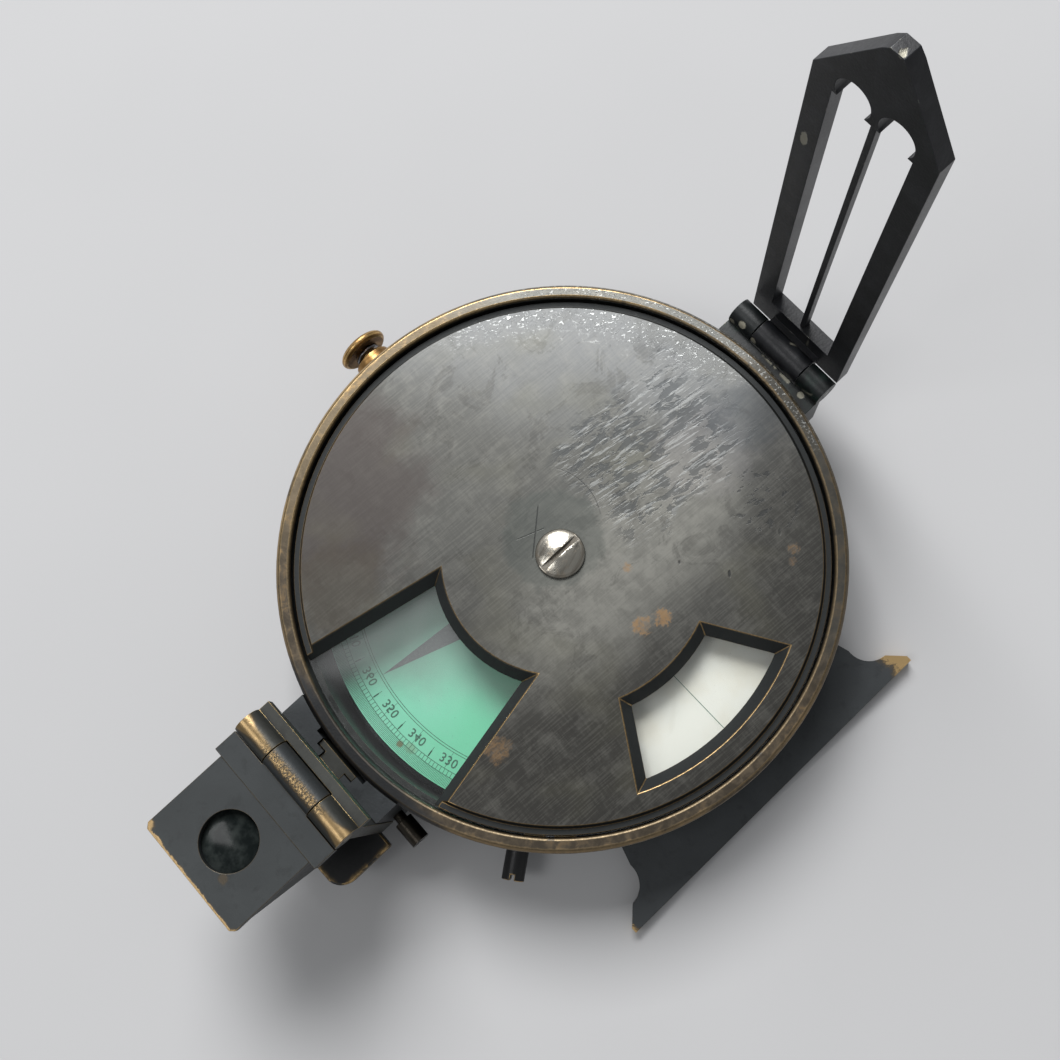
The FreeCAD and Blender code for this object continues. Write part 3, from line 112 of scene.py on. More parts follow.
class DialSizes(bpy.types.PropertyGroup):
    """Places, lengths and widths of the print on the card and on the sector."""

    tick_outer: length("Tick band outside", "Card edge to the outer ends of the finest ticks", 0.1 * MM)
    tick_long: length("Tick length", "Ticks three to a degree", 1.3 * MM)
    rung_outer: length("Ladder outside", "Card edge to the outer circle of the ladder", 1.4 * MM)
    rung_long: length("Ladder width", "One-degree rungs between the two circles of the ladder", 0.66 * MM)
    stub_outer: length("Stub inset", "Card edge to the bold stubs halfway between the numbers", 2.2 * MM)
    stub_long: length("Stub length", "Bold radial stubs", 0.76 * MM)
    hair_long: length("Hairline length", "Hairline that runs through a stub", 1.4 * MM)
    number_in: length("Number inset", "Card edge to the middle of the numbers", 3.14 * MM)
    number_high: length("Number height", "Height of the numbers", 1.14 * MM)
    circle_in: length("Circle inset", "Card edge to the first of the two inner circles", 4.2 * MM)
    circle_gap: length("Circle gap", "Between the two inner circles", 0.31 * MM)
    stroke: length("Stroke", "Width of the printed strokes", 0.075 * MM)
    ink: length("Ink", "Height of the print on its face", 0.012 * MM)
    number_zero: angle("North of the numbers", "Where the number 360 stands, from the vane", 166.8)
    pointer_at: angle("Pointer", "Direction of the printed pointer, from the vane", 168.2)
    pointer_half: length("Pointer half width", "Half the pointer's width at the card's middle", 3.1 * MM)
    index_at: angle("Index line", "Direction of the clinometer's index line, from the vane", 270.6)
    index_start: length("Index start", "Card's middle to the inner end of the index line", 8.0 * MM)
    index_in: length("Index inset", "Sector edge to the outer end of the index line", 1.6 * MM)
    arc_start: angle("Arc start", "Where the sector's fine arc starts, from the vane", 233.0)
    arc_span: angle("Arc span", "How far round the sector's fine arc runs", 74.0)


class FinishColours(bpy.types.PropertyGroup):
    """Main colours of the skins, the bare metals, the print and the floor."""

    patina: paint("Cover patina", "Old grey skin of the cover plate", (72, 72, 69))
    # the dark patina also serves as painted shade on the cover plate, and the pale patina as its painted
    # sheen
    patina_dark: paint("Cover patina, dark", "Dark part of the cover plate", (47, 46, 43))
    patina_pale: paint("Cover patina, pale", "Rubbed pale part of the cover plate", (122, 121, 115))
    rim: paint("Rim patina", "Brown skin of the bezel ring", (84, 74, 60))
    bronze: paint("Case bronze", "Dark olive skin of case and base", (46, 47, 46))
    brass: paint("Worn brass", "Brass rubbed bright on edges", (190, 160, 112))
    knob: paint("Knob brass", "Handled brass of the push knob", (158, 122, 76))
    lacquer: paint("Vane lacquer", "Black lacquer of the vane", (20, 21, 24))
    satin: paint("Prism black", "Satin black of the prism plate", (47, 50, 51))
    nickel: paint("Nickel", "Screw in the middle of the cover", (170, 166, 156))
    card: paint("Card green", "Pale green face of the compass card", (132, 208, 178))
    # painted shade: the card's colour where it is shaded on one side of the pointer
    card_dark: paint("Card, darkened", "Faded part of the card", (112, 146, 132))
    pointer: paint("Pointer grey", "Printed pointer of the card", (88, 92, 92))
    sector: paint("Sector white", "Enamelled face of the clinometer", (219, 218, 210))
    ink: paint("Ink", "Print of both dials", (56, 98, 80))
    floor: paint("Floor", "Plain pale floor", (179, 179, 180))


class WearSizes(bpy.types.PropertyGroup):
    """Widths of the rubbed edges."""

    thin: length("Thin wear", "Rubbed edge of the windows, the slide and the base plate", 0.09 * MM)
    fine: length("Fine wear", "Rubbed edge of most pieces", 0.13 * MM)
    broad: length("Broad wear", "Rubbed edge of the thumb rest", 0.24 * MM)
    slight: length("Slight wear", "Rubbed edge of the vane and of small inner pieces", 0.06 * MM)
    steps: IntProperty(name="Steps", description="Facets across a rubbed edge", default=2, min=1, max=4)


class StudioSizes(bpy.types.PropertyGroup):
    """Camera, floor and strengths of the light."""

    eye: FloatVectorProperty(
        name="Camera", description="Place of the camera", subtype="XYZ", unit="LENGTH",
        default=(-9.609 * MM, -26.108 * MM, 163.116 * MM))
    right: FloatVectorProperty(
        name="Right", description="Camera's right", subtype="DIRECTION",
        default=(0.73034, -0.68203, -0.03796))
    up: FloatVectorProperty(
        name="Up", description="Camera's up", subtype="DIRECTION", default=(0.66889, 0.7028, 0.24219))
    lens: FloatProperty(name="Lens", description="Focal length, in millimetres", default=43.163)
    shift_x: FloatProperty(name="Shift X", description="Sideways shift of the lens", default=-0.0697)
    shift_y: FloatProperty(name="Shift Y", description="Upward shift of the lens", default=-0.0663)
    floor_half: length("Floor", "Half the side of the floor", 1.6)
    sky: FloatProperty(name="Sky", description="Strength of the even light", default=0.34)
    window: FloatProperty(name="Window lamp", description="Power of the large soft lamp", default=20.0)
    side: FloatProperty(name="Side lamp", description="Power of the weak lamp beside the prism", default=2.0)


# ---------------------------------------------------------------- shader maths


def operation(kind, swapped=False):
    """Method that adds one kind of Math node to a number's finish; swapped puts the number second."""
    def method(self, *others):
        values = (self, *others)
        return self.finish.calculate(kind, *(reversed(values) if swapped else values))
    return method


class Value:
    """A number in a finish. Python's operators on it add the Math nodes."""

    __add__ = __radd__ = operation("ADD")
    __sub__ = operation("SUBTRACT")
    __rsub__ = operation("SUBTRACT", swapped=True)
    __mul__ = __rmul__ = operation("MULTIPLY")
    __truediv__ = operation("DIVIDE")
    __rtruediv__ = operation("DIVIDE", swapped=True)
    __pow__ = operation("POWER")
    __abs__ = operation("ABSOLUTE")
    least = operation("MINIMUM")
    most = operation("MAXIMUM")

    def __init__(self, finish, socket):
        self.finish = finish
        self.socket = socket

    def ragged(self, noise, reach):
        """This number pushed to and fro by a noise, by up to half of reach each way."""
        return self + (noise - 0.5) * reach

    def over(self, low, high):
        """0 below low, 1 above high and a smooth step between them; high may be the lower one."""
        node = self.finish.node(
            "ShaderNodeMapRange", {"interpolation_type": "SMOOTHSTEP", "clamp": True},
            {"Value": self, "From Min": low, "From Max": high})
        return Value(self.finish, node.outputs[0])


class Finish:
    """A material while it is put together: its nodes, its patterns and its main shader."""

    def __init__(self, name):
        self.material = bpy.data.materials.new(name)
        self.material.use_nodes = True
        self.tree = self.material.node_tree
        self.tree.nodes.clear()
        scaled = {0: self.node("ShaderNodeTexCoord").outputs["Object"], "Scale": 1.0 / MM}
        self.place = self.node("ShaderNodeVectorMath", {"operation": "SCALE"}, scaled).outputs[0]
        split = self.node("ShaderNodeSeparateXYZ", {}, {0: self.place})
        self.x, self.y, self.z = (Value(self, split.outputs[i]) for i in range(3))

    def node(self, kind, settings=None, sockets=None):
        """Add any node: its settings first, then a value or a link for each socket that is named."""
        made = self.tree.nodes.new(kind)
        for name, setting in (settings or {}).items():
            setattr(made, name, setting)
        for key, given in (sockets or {}).items():
            self.feed(made.inputs[key], given)
        return made

    def feed(self, socket, given):
        """Link a value or a socket to a socket, or set the socket to a number or a colour."""
        if isinstance(given, Value):
            given = given.socket
        if isinstance(given, bpy.types.NodeSocket):
            self.tree.links.new(given, socket)
        elif socket.type == "RGBA" and len(given) == 3:
            socket.default_value = (*given, 1.0)
        else:
            socket.default_value = given

    def calculate(self, kind, *values):
        """A Math node of one kind on numbers and values."""
        made = self.node("ShaderNodeMath", {"operation": kind}, dict(enumerate(values)))
        return Value(self, made.outputs[0])

    def radius(self, x=0.0, y=0.0):
        """Distance from the upright line through (x, y)."""
        across = self.x - x
        along = self.y - y
        return (across * across + along * along) ** 0.5

    def towards(self, degrees):
        """Distance from the middle in a direction that is given from the vane."""
        return self.x * math.cos(math.radians(degrees)) + self.y * math.sin(math.radians(degrees))

    def scaled(self, shares):
        """Place multiplied by a share along each axis."""
        return self.node("ShaderNodeMapping", {}, {"Vector": self.place, "Scale": shares}).outputs[0]

    def turned(self, degrees, stretch):
        """Place turned about +Z and divided by stretch along its new X, for a pattern in streaks."""
        spun = self.node("ShaderNodeMapping", {}, {
            "Vector": self.place, "Rotation": (0.0, 0.0, math.radians(-degrees))}).outputs[0]
        return self.node("ShaderNodeMapping", {}, {
            "Vector": spun, "Scale": (1.0 / stretch, 1.0, 1.0)}).outputs[0]

    def noise(self, per_mm, detail=3.0, rough=0.6, place=None, warp=0.0):
        """Clouds from 0 to 1, with so many of them to a millimetre."""
        node = self.node("ShaderNodeTexNoise", {"noise_dimensions": "3D"}, {
            "Vector": place or self.place, "Scale": per_mm, "Detail": detail, "Roughness": rough,
            "Distortion": warp})
        return Value(self, node.outputs[0])

    def cells(self, per_mm, place=None):
        """Distance to the nearest of the points of a scattered grid, in cells."""
        node = self.node("ShaderNodeTexVoronoi", {"feature": "F1"}, {
            "Vector": place or self.place, "Scale": per_mm})
        return Value(self, node.outputs["Distance"])

    def blob(self, x, y, size, rag=0.5, per_mm=0.6):
        """1 on a ragged patch round (x, y), 0 outside it."""
        edge = (self.radius(x, y) / size).ragged(self.noise(per_mm, 4.0, 0.65), 2.0 * rag)
        return edge.over(1.0, 0.55)

    def spot(self, at, size):
        """1 on a ragged chip at a point, with a size along each axis, 0 off it."""
        x, y, z = ((axis - at[i]) / size[i] for i, axis in enumerate((self.x, self.y, self.z)))
        far = (x * x + y * y + z * z) ** 0.5
        return far.ragged(self.noise(1.4), 0.9).over(1.0, 0.7)

    def stroke(self, start, end, width):
        """1 on a scratch from start to end with soft edges, 0 off it."""
        run = (end[0] - start[0], end[1] - start[1])
        reach = math.hypot(*run)
        way = (run[0] / reach, run[1] / reach)
        along = (self.x - start[0]) * way[0] + (self.y - start[1]) * way[1]
        aside = abs((self.y - start[1]) * way[0] - (self.x - start[0]) * way[1])
        return aside.over(width, width * 0.3) * along.over(0.0, 0.4) * along.over(reach, reach - 0.4)

    def mix(self, share, first, second):
        """Colour between first, at share 0, and second, at share 1."""
        node = self.node("ShaderNodeMix", {"data_type": "RGBA", "clamp_factor": True}, {
            0: share, 6: first, 7: second})
        return node.outputs[2]

    def coats(self, colour, *coats):
        """A colour under coats that are laid one over another, each given as its share and its tone."""
        for share, tone in coats:
            colour = self.mix(share, colour, tone)
        return colour

    def bump(self, height, far):
        """Normal of a surface raised by height times far, in metres."""
        return self.node("ShaderNodeBump", {}, {"Height": height, "Distance": far}).outputs[0]

    def metal(self, colour, roughness, metallic=1.0, normal=None, gloss=None):
        """Finish as one Principled shader. A plain gloss is put on its own socket."""
        sockets = {"Base Color": colour, "Roughness": roughness, "Metallic": metallic}
        if normal is not None:
            sockets["Normal"] = normal
        if gloss is not None:
            sockets["Specular IOR Level"] = gloss
        return self.close(self.node("ShaderNodeBsdfPrincipled", {}, sockets))

    def close(self, shader):
        """Put a shader on the surface."""
        self.node("ShaderNodeOutputMaterial", {}, {"Surface": shader.outputs[0]})
        return self.material


def joined(*masks):
    """The largest of some masks, so where any of them is."""
    return functools.reduce(Value.most, masks)


# ---------------------------------------------------------------- finishes
# Places, sizes and edges of patterns are in millimetres, and patterns are counted to a millimetre.


def cover_skin(f, colours, clouds, mottle, linen):
    """Grey skin: a painted sheen palest in a band below the screw, painted shade darkest at the lower edge,
    stained and finely brushed.
    """
    # painted light: lie shades the plate darker towards the edge between the prism and the bar, middle and
    # lit paint a sheen below the screw and towards the vane, and low deepens the painted shade along the
    # edge between the vane and the bar
    lie = f.towards(56.0).ragged(clouds, 16.0)
    across = (f.x - 4.0) / 19.0
    along = (f.y + 6.0) / 8.0
    middle = ((across * across + along * along) ** 0.5).ragged(clouds, 0.9).ragged(mottle, 0.3)
    broken = 0.65 + 0.35 * mottle.over(0.35, 0.60)
    lit = f.towards(33.0).ragged(clouds, 12.0)
    stain = f.noise(0.20, 5.0, 0.70, warp=0.8)
    low = f.towards(-42.0).ragged(clouds, 8.0)
    return f.coats(
        f.mix(lie.over(-22.0, 8.0), colours.patina_dark, colours.patina),
        (middle.over(1.45, 0.35) * broken * 0.66, colours.patina_pale),
        (lit.over(11.0, 26.0) * 0.45, shade(122, 124, 126)),
        (stain.over(0.53, 0.61) * 0.32, colours.patina_dark),
        (low.over(19.0, 27.0) * 0.7, colours.patina_dark),
        (mottle.over(0.45, 0.72) * 0.16, colours.patina_pale),
        (linen.over(0.46, 0.62) * 0.12, colours.patina_pale),
        (linen.over(0.50, 0.36) * 0.10, colours.patina_dark))


def cover_tarnish(f, colour):
    """Violet-brown by the knob, olive bloom in the middle, brown by the card window, a painted sheen by the
    vane.
    """
    violet = f.blob(-14.0, 24.0, 14.0, 0.5, 0.15)
    olive = f.noise(0.12, 2.0, 0.5, place=f.turned(-35.0, 1.4))
    brown = joined(f.blob(-22.0, 15.0, 7.0, 0.6, 0.25), f.blob(-27.0, 5.0, 6.0, 0.6, 0.25))
    # painted sheen: a pale patch by the vane
    pale = f.blob(21.0, -3.0, 7.5, 0.5, 0.3)
    return f.coats(
        colour,
        (violet * 0.68, shade(56, 49, 47)),
        (olive.over(0.50, 0.72) * 0.18, shade(96, 94, 76)),
        (brown * 0.50, shade(60, 54, 45)),
        (pale * 0.18, shade(130, 127, 128)))


def plated_zone(f, mottle):
    """1 between the screw and the vane, where the skin has broken into plates, 0 elsewhere."""
    zone = f.x.over(5.0, 9.0) * f.x.ragged(mottle, 10.0).over(29.0, 24.0)
    return zone * f.y.ragged(mottle, 8.0).over(-7.0, -4.5) * f.y.ragged(mottle, 6.0).over(11.0, 8.5)


def flaked_band(f, clouds, mottle):
    """1 along the edge by the vane, 0 elsewhere."""
    band = f.radius().ragged(mottle, 7.0).over(26.6, 29.4)
    return band * f.towards(38.0).ragged(clouds, 6.0).over(22.0, 27.5)


def cover_rust(f):
    """Ragged spots of rust below the screw, beside the card window and by the edge."""
    # share, place, size, raggedness and lumps to a millimetre
    spots = (
        (1.0, 1.3, -12.8, 1.3, 1.0, 1.7),
        (1.0, 3.6, -13.7, 1.2, 1.0, 2.1),
        (0.6, -20.5, -11.8, 1.7, 0.8, 1.4),
        (0.8, 4.6, -6.6, 0.7, 0.8, 2.4),
        (0.55, 20.4, -18.4, 0.8, 0.9, 2.4),
        (0.5, 19.2, -19.4, 0.6, 0.9, 2.4))
    return joined(*(f.blob(*spot) * share for share, *spot in spots))


def cover_scratches(f):
    """Crossing scratches and a faint arc beside the screw, and short tool marks in loose bands."""
    scuffs = joined(f.stroke((2.1, 6.2), (-2.9, 1.7), 0.09), f.stroke((-2.8, 4.9), (0.8, 3.55), 0.08))
    arc = abs(f.radius(0.5, 4.1) - 7.32).over(0.07, 0.02) * f.x.over(6.4, 7.2) * 0.5
    marks = f.cells(0.62, place=f.turned(50.0, 2.6)).over(0.15, 0.09)
    marks = marks * f.noise(0.4, 1.0, 0.5).over(0.50, 0.56)
    reach = f.radius()
    lower = reach.over(22.4, 23.6) * reach.over(29.6, 28.4) * f.y.over(-13.0, -18.0)
    return joined(marks * lower.most(f.blob(11.0, -12.0, 6.5, 0.2)), scuffs * 0.8, arc)


def cover_finish(colours):
    """Old skin of the cover plate: brushed grey with painted sheen and shade, dark by the prism, flaked with
    painted glints by the vane, with a painted shadow by the vane, painted shade on its walls, and rust.
    """
    f = Finish("cover_patina")
    clouds = f.noise(0.08, 3.0, 0.5, warp=0.5)
    mottle = f.noise(0.45, 4.0, 0.62, warp=0.3)
    grain = f.noise(3.0)
    linen = f.noise(5.0, 2.0, 0.5, place=f.turned(-3.0, 22.0)) * 0.72
    linen = linen + f.noise(4.0, 2.0, 0.5, place=f.turned(84.0, 10.0)) * 0.28
    zone = plated_zone(f, mottle)
    plates = f.noise(0.8, 5.0, 0.68, place=f.turned(-12.0, 2.6), warp=0.6).over(0.50, 0.54) * zone
    streaks = f.noise(3.2, place=f.turned(-10.0, 9.0)).over(0.56, 0.62) * zone
    band = flaked_band(f, clouds, mottle)
    # flakes of the skin painted near white: bare metal and painted glints
    flakes_and_glints = f.noise(3.4, 5.0, 0.72, place=f.turned(-30.0, 1.8), warp=0.5).over(0.54, 0.61) * band
    pits = f.noise(1.5, 4.0, 0.66, place=f.turned(-12.0, 2.0)).over(0.57, 0.61)
    pits = pits * f.blob(22.0, -11.5, 5.5, 0.5, 0.3)
    # painted shadow: a dark patch beside the vane
    dull = f.blob(27.6, -3.2, 5.4, 0.5, 0.3)
    rust = cover_rust(f)
    crust = f.noise(0.9, 6.0, 0.75, warp=0.6).over(0.40, 0.56)
    ring = f.radius(0.6, 2.0).ragged(f.noise(0.5, 4.0), 3.5)
    dark = cover_scratches(f)
    top = top_of("cover_plate")
    # painted shade: the walls of the windows and the steps below the top are darkened
    walls = f.z.over(top - 0.06, top - 0.20)
    colour = f.coats(
        cover_tarnish(f, cover_skin(f, colours, clouds, mottle, linen)),
        (plates * 0.55, shade(46, 50, 53)),
        (streaks * 0.40, shade(142, 144, 143)),
        (band * 0.35, shade(104, 106, 107)),
        (flakes_and_glints * 0.75, shade(196, 198, 197)),
        (pits * 0.6, shade(38, 40, 42)),
        (dull * 0.45, shade(58, 62, 66)),
        (rust * (0.25 + 0.75 * crust) * 0.62, shade(134, 100, 54)),
        (ring.over(6.6, 5.4) * 0.45, shade(58, 63, 60)),
        (dark * 0.85, shade(34, 35, 36)),
        (walls * 0.94, shade(24, 28, 29)))
    rough = (0.42 - 0.06 * flakes_and_glints + 0.14 * rust + 0.25 * walls).ragged(grain, 0.14)
    height = flakes_and_glints * 0.60 + streaks * 0.20 - plates * 0.35 - pits * 0.4 - dark * 0.9
    height = height + mottle * 0.20 + linen * 0.20
    return f.metal(colour, rough, 0.62 - 0.30 * rust - 0.30 * walls, f.bump(height, 0.022 * MM))


def cover_edge(f):
    """Bare along the windows' lower edges, faint elsewhere and none on the flaked side."""
    card = f.y.over(-6.5, -8.0) * f.x.over(-10.0, -12.0) * f.y.over(-13.5, -12.5)
    dial = f.y.over(-15.0, -17.0) * abs(f.x).over(14.0, 12.5) * f.radius().over(29.9, 29.4)
    return (0.30 + (card * 0.70).most(dial * 0.50)) * f.towards(36.0).over(18.0, 8.0)


def bronze_finish(name, base, bare=None, wear=None, pale=0.35):
    """Dark skin on brass with dull clouds and fine grain, rubbed through to bare brass where wear says."""
    f = Finish(name)
    clouds = f.noise(0.10, 4.0, warp=0.4)
    mottle = f.noise(0.55, 4.0, 0.62, warp=0.3)
    grain = f.noise(4.2, 2.0)
    colour = f.coats(
        base,
        (clouds.over(0.40, 0.68) * pale, toned(base, 2.2, 0.01)),
        (mottle.over(0.46, 0.30) * 0.4, toned(base, 0.5)))
    rubbed = 0.0
    if wear is not None:
        rubbed = wear(f)
        colour = f.mix(rubbed, colour, f.mix(rubbed.over(0.9, 0.3), bare, toned(bare, 0.30)))
    rough = (0.44 - 0.12 * rubbed + (grain - 0.5) * 0.16).ragged(mottle, 0.12)
    height = mottle * 0.4 + grain * 0.25 - rubbed * 0.3
    return f.metal(colour, rough, 0.5 + 0.45 * rubbed, f.bump(height, 0.04 * MM))


def edge_finish(name, base, share, bare, per_mm=0.5, where=None):
    """Rubbed edge: bare brass broken by remains of the skin. Share is about how much of it is bare."""
    f = Finish(name)
    patches = f.noise(per_mm, 5.0, 0.68, warp=0.3)
    fine = f.noise(per_mm * 6.0)
    # the clouds keep near 0.5, so the threshold moves by less than the share does
    at = 0.5 + (0.5 - share) * 0.45
    bright = (patches * 0.8 + fine * 0.2).over(at - 0.08, at + 0.08)
    if where is not None:
        bright = bright * where(f)
    colour = f.mix(bright, base, f.mix(fine.over(0.35, 0.65), bare, toned(bare, 0.62)))
    rough = (0.42 - 0.12 * bright).ragged(fine, 0.2)
    return f.metal(colour, rough, 0.5 + 0.45 * bright, f.bump(fine * 0.6 - bright * 0.2, 0.03 * MM))


def prism_side(f):
    """1 on the short part of the rim behind the prism, 0 elsewhere."""
    return f.towards(181.0).ragged(f.noise(0.5), 1.5).over(30.4, 32.0)


def handled_side(f):
    """1 where hands polish the rim, towards the knob, weak elsewhere and 0 behind the prism."""
    polished = f.towards(80.0).ragged(f.noise(0.12, 2.0, 0.5), 14.0).over(12.0, 28.0)
    return (0.35 + 0.65 * polished) * (1.0 - prism_side(f))


def rim_finish(colours):
    """Bezel ring: brown, brassy by the knob, black behind the prism, grey and flaked with painted glints by
    the vane, with painted shade in its groove and on its side.
    """
    f = Finish("rim_patina")
    reach = f.radius()
    mottle = f.noise(0.6, 4.0, 0.64, warp=0.4)
    patches = f.noise(0.16, warp=0.5)
    grain = f.noise(4.0, 2.0)
    handled = handled_side(f)
    rubbed = mottle.over(0.50, 0.66) * patches.over(0.40, 0.58) * handled
    outer = reach.ragged(mottle, 0.5).over(33.3, 33.6) * patches.over(0.34, 0.50) * handled
    # flakes painted near white: bare metal and painted glints
    flakes_and_glints = f.noise(3.2, 4.0, 0.68, place=f.turned(-14.0, 1.3)).over(0.54, 0.59)
    flakes_and_glints = flakes_and_glints * f.towards(18.0).ragged(patches, 8.0).over(24.0, 29.0)
    top = top_of("bezel_ring")
    # painted shade: the groove round the glass and the ring's lower side are darkened
    groove = f.z.over(top - 0.45, top - 0.75) * reach.over(33.4, 32.9)
    side = f.z.over(top - 2.4, top - 2.9)
    colour = f.coats(
        f.mix(mottle.over(0.38, 0.66), toned(colours.rim, 0.45), colours.rim),
        (rubbed * 0.6, shade(150, 116, 66)),
        ((handled - 0.35).most(0.0) * 0.75, shade(118, 104, 80)),
        (outer * 0.7, colours.brass),
        (f.towards(-32.0).ragged(patches, 6.0).over(25.0, 30.0) * 0.6, shade(58, 60, 58)),
        (f.towards(34.0).ragged(patches, 6.0).over(24.0, 30.5) * 0.85, shade(98, 99, 96)),
        (flakes_and_glints * 0.70, shade(176, 177, 174)),
        (prism_side(f) * 0.9, shade(34, 37, 40)),
        ((side * 0.6).most(groove * 0.95), shade(20, 24, 25)))
    rough = (0.42 - 0.08 * rubbed).ragged(grain, 0.18)
    height = mottle * 0.35 + grain * 0.25 + flakes_and_glints * 0.4
    return f.metal(colour, rough, 0.60 + 0.30 * rubbed, f.bump(height, 0.05 * MM))


def bar_wear(f):
    """Brass on the two tips of the base bar, more on the one towards the vane."""
    ragged = f.noise(0.45, 5.0, 0.68, warp=0.4)
    right = f.x.ragged(ragged, 5.0).over(20.4, 21.6) * f.y.ragged(ragged, 3.0).over(-33.6, -34.6)
    left = f.x.ragged(ragged, 3.0).over(-22.6, -23.2) * f.y.ragged(ragged, 3.0).over(-36.0, -36.8)
    return right.most(left) * 0.9


def bar_edge(f):
    """Thin and even along the straight edge, broken elsewhere."""
    return 0.25 + 0.75 * f.y.over(-37.0, -37.4).most(bar_wear(f))


def barrel_wear(f):
    """A bright streak of bare brass along the top of the prism's hinge barrel, where its highlight runs:
    rubbed brass and painted highlight. Wide at its ends, pitted in its middle.
    """
    ragged = f.noise(0.5, 4.0, 0.65, warp=0.3)
    fine = f.noise(4.5, 3.0, 0.65)
    aside = abs((f.x + 37.9).ragged(ragged, 0.5)) - abs(f.y).over(6.0, 9.0) * 0.6
    pits = fine.over(0.56, 0.44) * abs(f.y.ragged(ragged, 4.0)).over(6.0, 3.4)
    # the streak is partly a painted highlight along the top of the barrel
    streak = aside.over(0.95, 0.20) * f.z.over(23.9, 24.5)
    return streak * (1.0 - 0.55 * pits)


def plate_edge(f):
    """Only the outer edge of the prism plate and its corners are bare."""
    return 0.12 + 0.88 * f.x.over(-51.6, -52.4)


def prism_wear(f):
    """Brass on the outer edge and corners of the prism plate, and on its knuckle the barrel's streak, partly
    a painted highlight.
    """
    ragged = f.noise(0.5, 5.0, 0.68, warp=0.4)
    bare = joined(
        f.x.ragged(ragged, 0.8).over(-52.62, -52.86),
        f.radius(-53.0, -7.55).ragged(ragged, 1.2).over(0.8, 0.4),
        f.radius(-53.0, 7.55).ragged(ragged, 1.6).over(1.2, 0.7),
        f.blob(-50.2, -2.6, 0.7, 0.5, 1.4) * 0.4)
    return (bare * f.z.over(21.0, 23.0)).most(barrel_wear(f))


def thumb_wear(f):
    """Brass along the outer edge and the sides of the thumb rest."""
    ragged = f.noise(0.5, 4.0, 0.65, warp=0.4)
    outer = f.x.ragged(ragged, 1.2).over(-45.2, -45.8)
    return outer.most(abs(f.y).ragged(ragged, 1.2).over(9.8, 10.3)) * 0.55


def vane_marks(f):
    """Pale chips at the vane's foot, on a stile and on its tip, and a rubbed line on its knuckle."""
    line = f.stroke((37.9, -0.1), (39.6, -1.9), 0.25) * f.z.over(14.3, 14.7) * f.z.over(16.5, 15.8)
    return joined(
        f.spot((40.4, 6.2, 54.8), (1.0, 0.5, 1.3)) * 0.55,
        f.spot((40.9, -0.2, 76.3), (1.2, 0.8, 0.8)) * 0.8,
        line * 0.6,
        f.spot((35.3, 3.4, 14.0), (0.6, 0.55, 0.6)))


def bracket_marks(f):
    """Pale chips on the foot of the vane bracket and a rubbed strip."""
    strip = f.stroke((35.35, 1.6), (35.0, -3.6), 0.45) * f.noise(1.2).over(0.42, 0.50) * f.z.over(12.7, 13.0)
    return joined(
        f.spot((35.6, 5.6, 14.8), (0.6, 0.6, 0.6)),
        f.spot((35.2, 7.0, 14.0), (0.4, 0.5, 0.5)) * 0.6,
        strip * 0.6,
        f.spot((34.8, -5.5, 13.2), (0.5, 0.5, 0.4)) * 0.5)


def lacquer_finish(name, base, marks, chips=0.0, green=0.0):
    """Black lacquer, satin and a little uneven, with the marks given, scattered chips and green tarnish."""
    f = Finish(name)
    mottle = f.noise(0.4, 4.0, warp=0.4)
    grain = f.noise(3.4)
    sheen = f.noise(0.12, 2.0, 0.5)
    spots = f.cells(0.22, place=f.turned(30.0, 1.5)).over(0.16, 0.12)
    spots = (spots * f.noise(0.35, 2.0, 0.5).over(0.60, 0.64) * chips).most(marks(f))
    colour = f.coats(
        base,
        (mottle.over(0.42, 0.70) * 0.7, toned(base, 1.9, 0.004)),
        (f.noise(0.3).over(0.45, 0.65) * green, shade(44, 66, 58)),
        (spots, shade(168, 164, 148)))
    rough = (0.40 + (grain - 0.5) * 0.22).ragged(sheen, 0.16) + spots * 0.1
    height = mottle * 0.4 + grain * 0.3 - spots * 0.8
    return f.metal(colour, rough, 0.15 + 0.5 * spots, f.bump(height, 0.05 * MM), gloss=0.4)


def nickel_finish(colours):
    """Nickel screw: bright dome with brushed hairlines and dull brown bloom, darker brown in its slot,
    painted shade round its edge.
    """
    f = Finish("nickel_screw")
    reach = f.radius()
    grain = f.noise(2.2, 4.0, 0.62)
    hair = f.noise(1.8, 2.0, 0.5, place=f.turned(20.0, 16.0))
    bloom = f.noise(0.7).over(0.50, 0.66)
    slot = f.z.over(15.45, 15.25) * reach.over(2.85, 2.7)
    colour = f.coats(
        colours.nickel,
        (hair.over(0.45, 0.65) * 0.5, shade(120, 114, 104)),
        (bloom * 0.35, shade(122, 100, 70)),
        (slot * 0.8, shade(44, 36, 26)),
        # painted shade round the edge of the head
        (reach.over(2.75, 2.92) * 0.4, shade(70, 64, 52)))
    rough = (0.22 + 0.14 * bloom).ragged(grain, 0.14) + 0.3 * slot
    return f.metal(colour, rough, 1.0 - 0.4 * slot, f.bump(grain * 0.5 + hair * 0.5, 0.03 * MM))


def knob_finish(colours):
    """Handled brass: warm, with turning marks, browner towards the case."""
    f = Finish("handled_brass")
    mottle = f.noise(0.7, 4.0, 0.62, warp=0.3)
    grain = f.noise(4.0)
    turned = f.noise(3.2, 1.0, 0.4, place=f.scaled((0.04, 1.0, 0.04)))
    colour = f.coats(
        colours.knob,
        (mottle.over(0.42, 0.68) * 0.7, shade(112, 82, 48)),
        (turned.over(0.52, 0.60) * 0.35, shade(88, 66, 40)),
        (f.y.over(35.6, 34.4) * 0.5, shade(84, 66, 44)))
    rough = 0.32 + (grain - 0.5) * 0.18 + mottle.over(0.42, 0.68) * 0.12
    return f.metal(colour, rough, 0.95, f.bump(turned * 0.5 + grain * 0.3, 0.04 * MM))


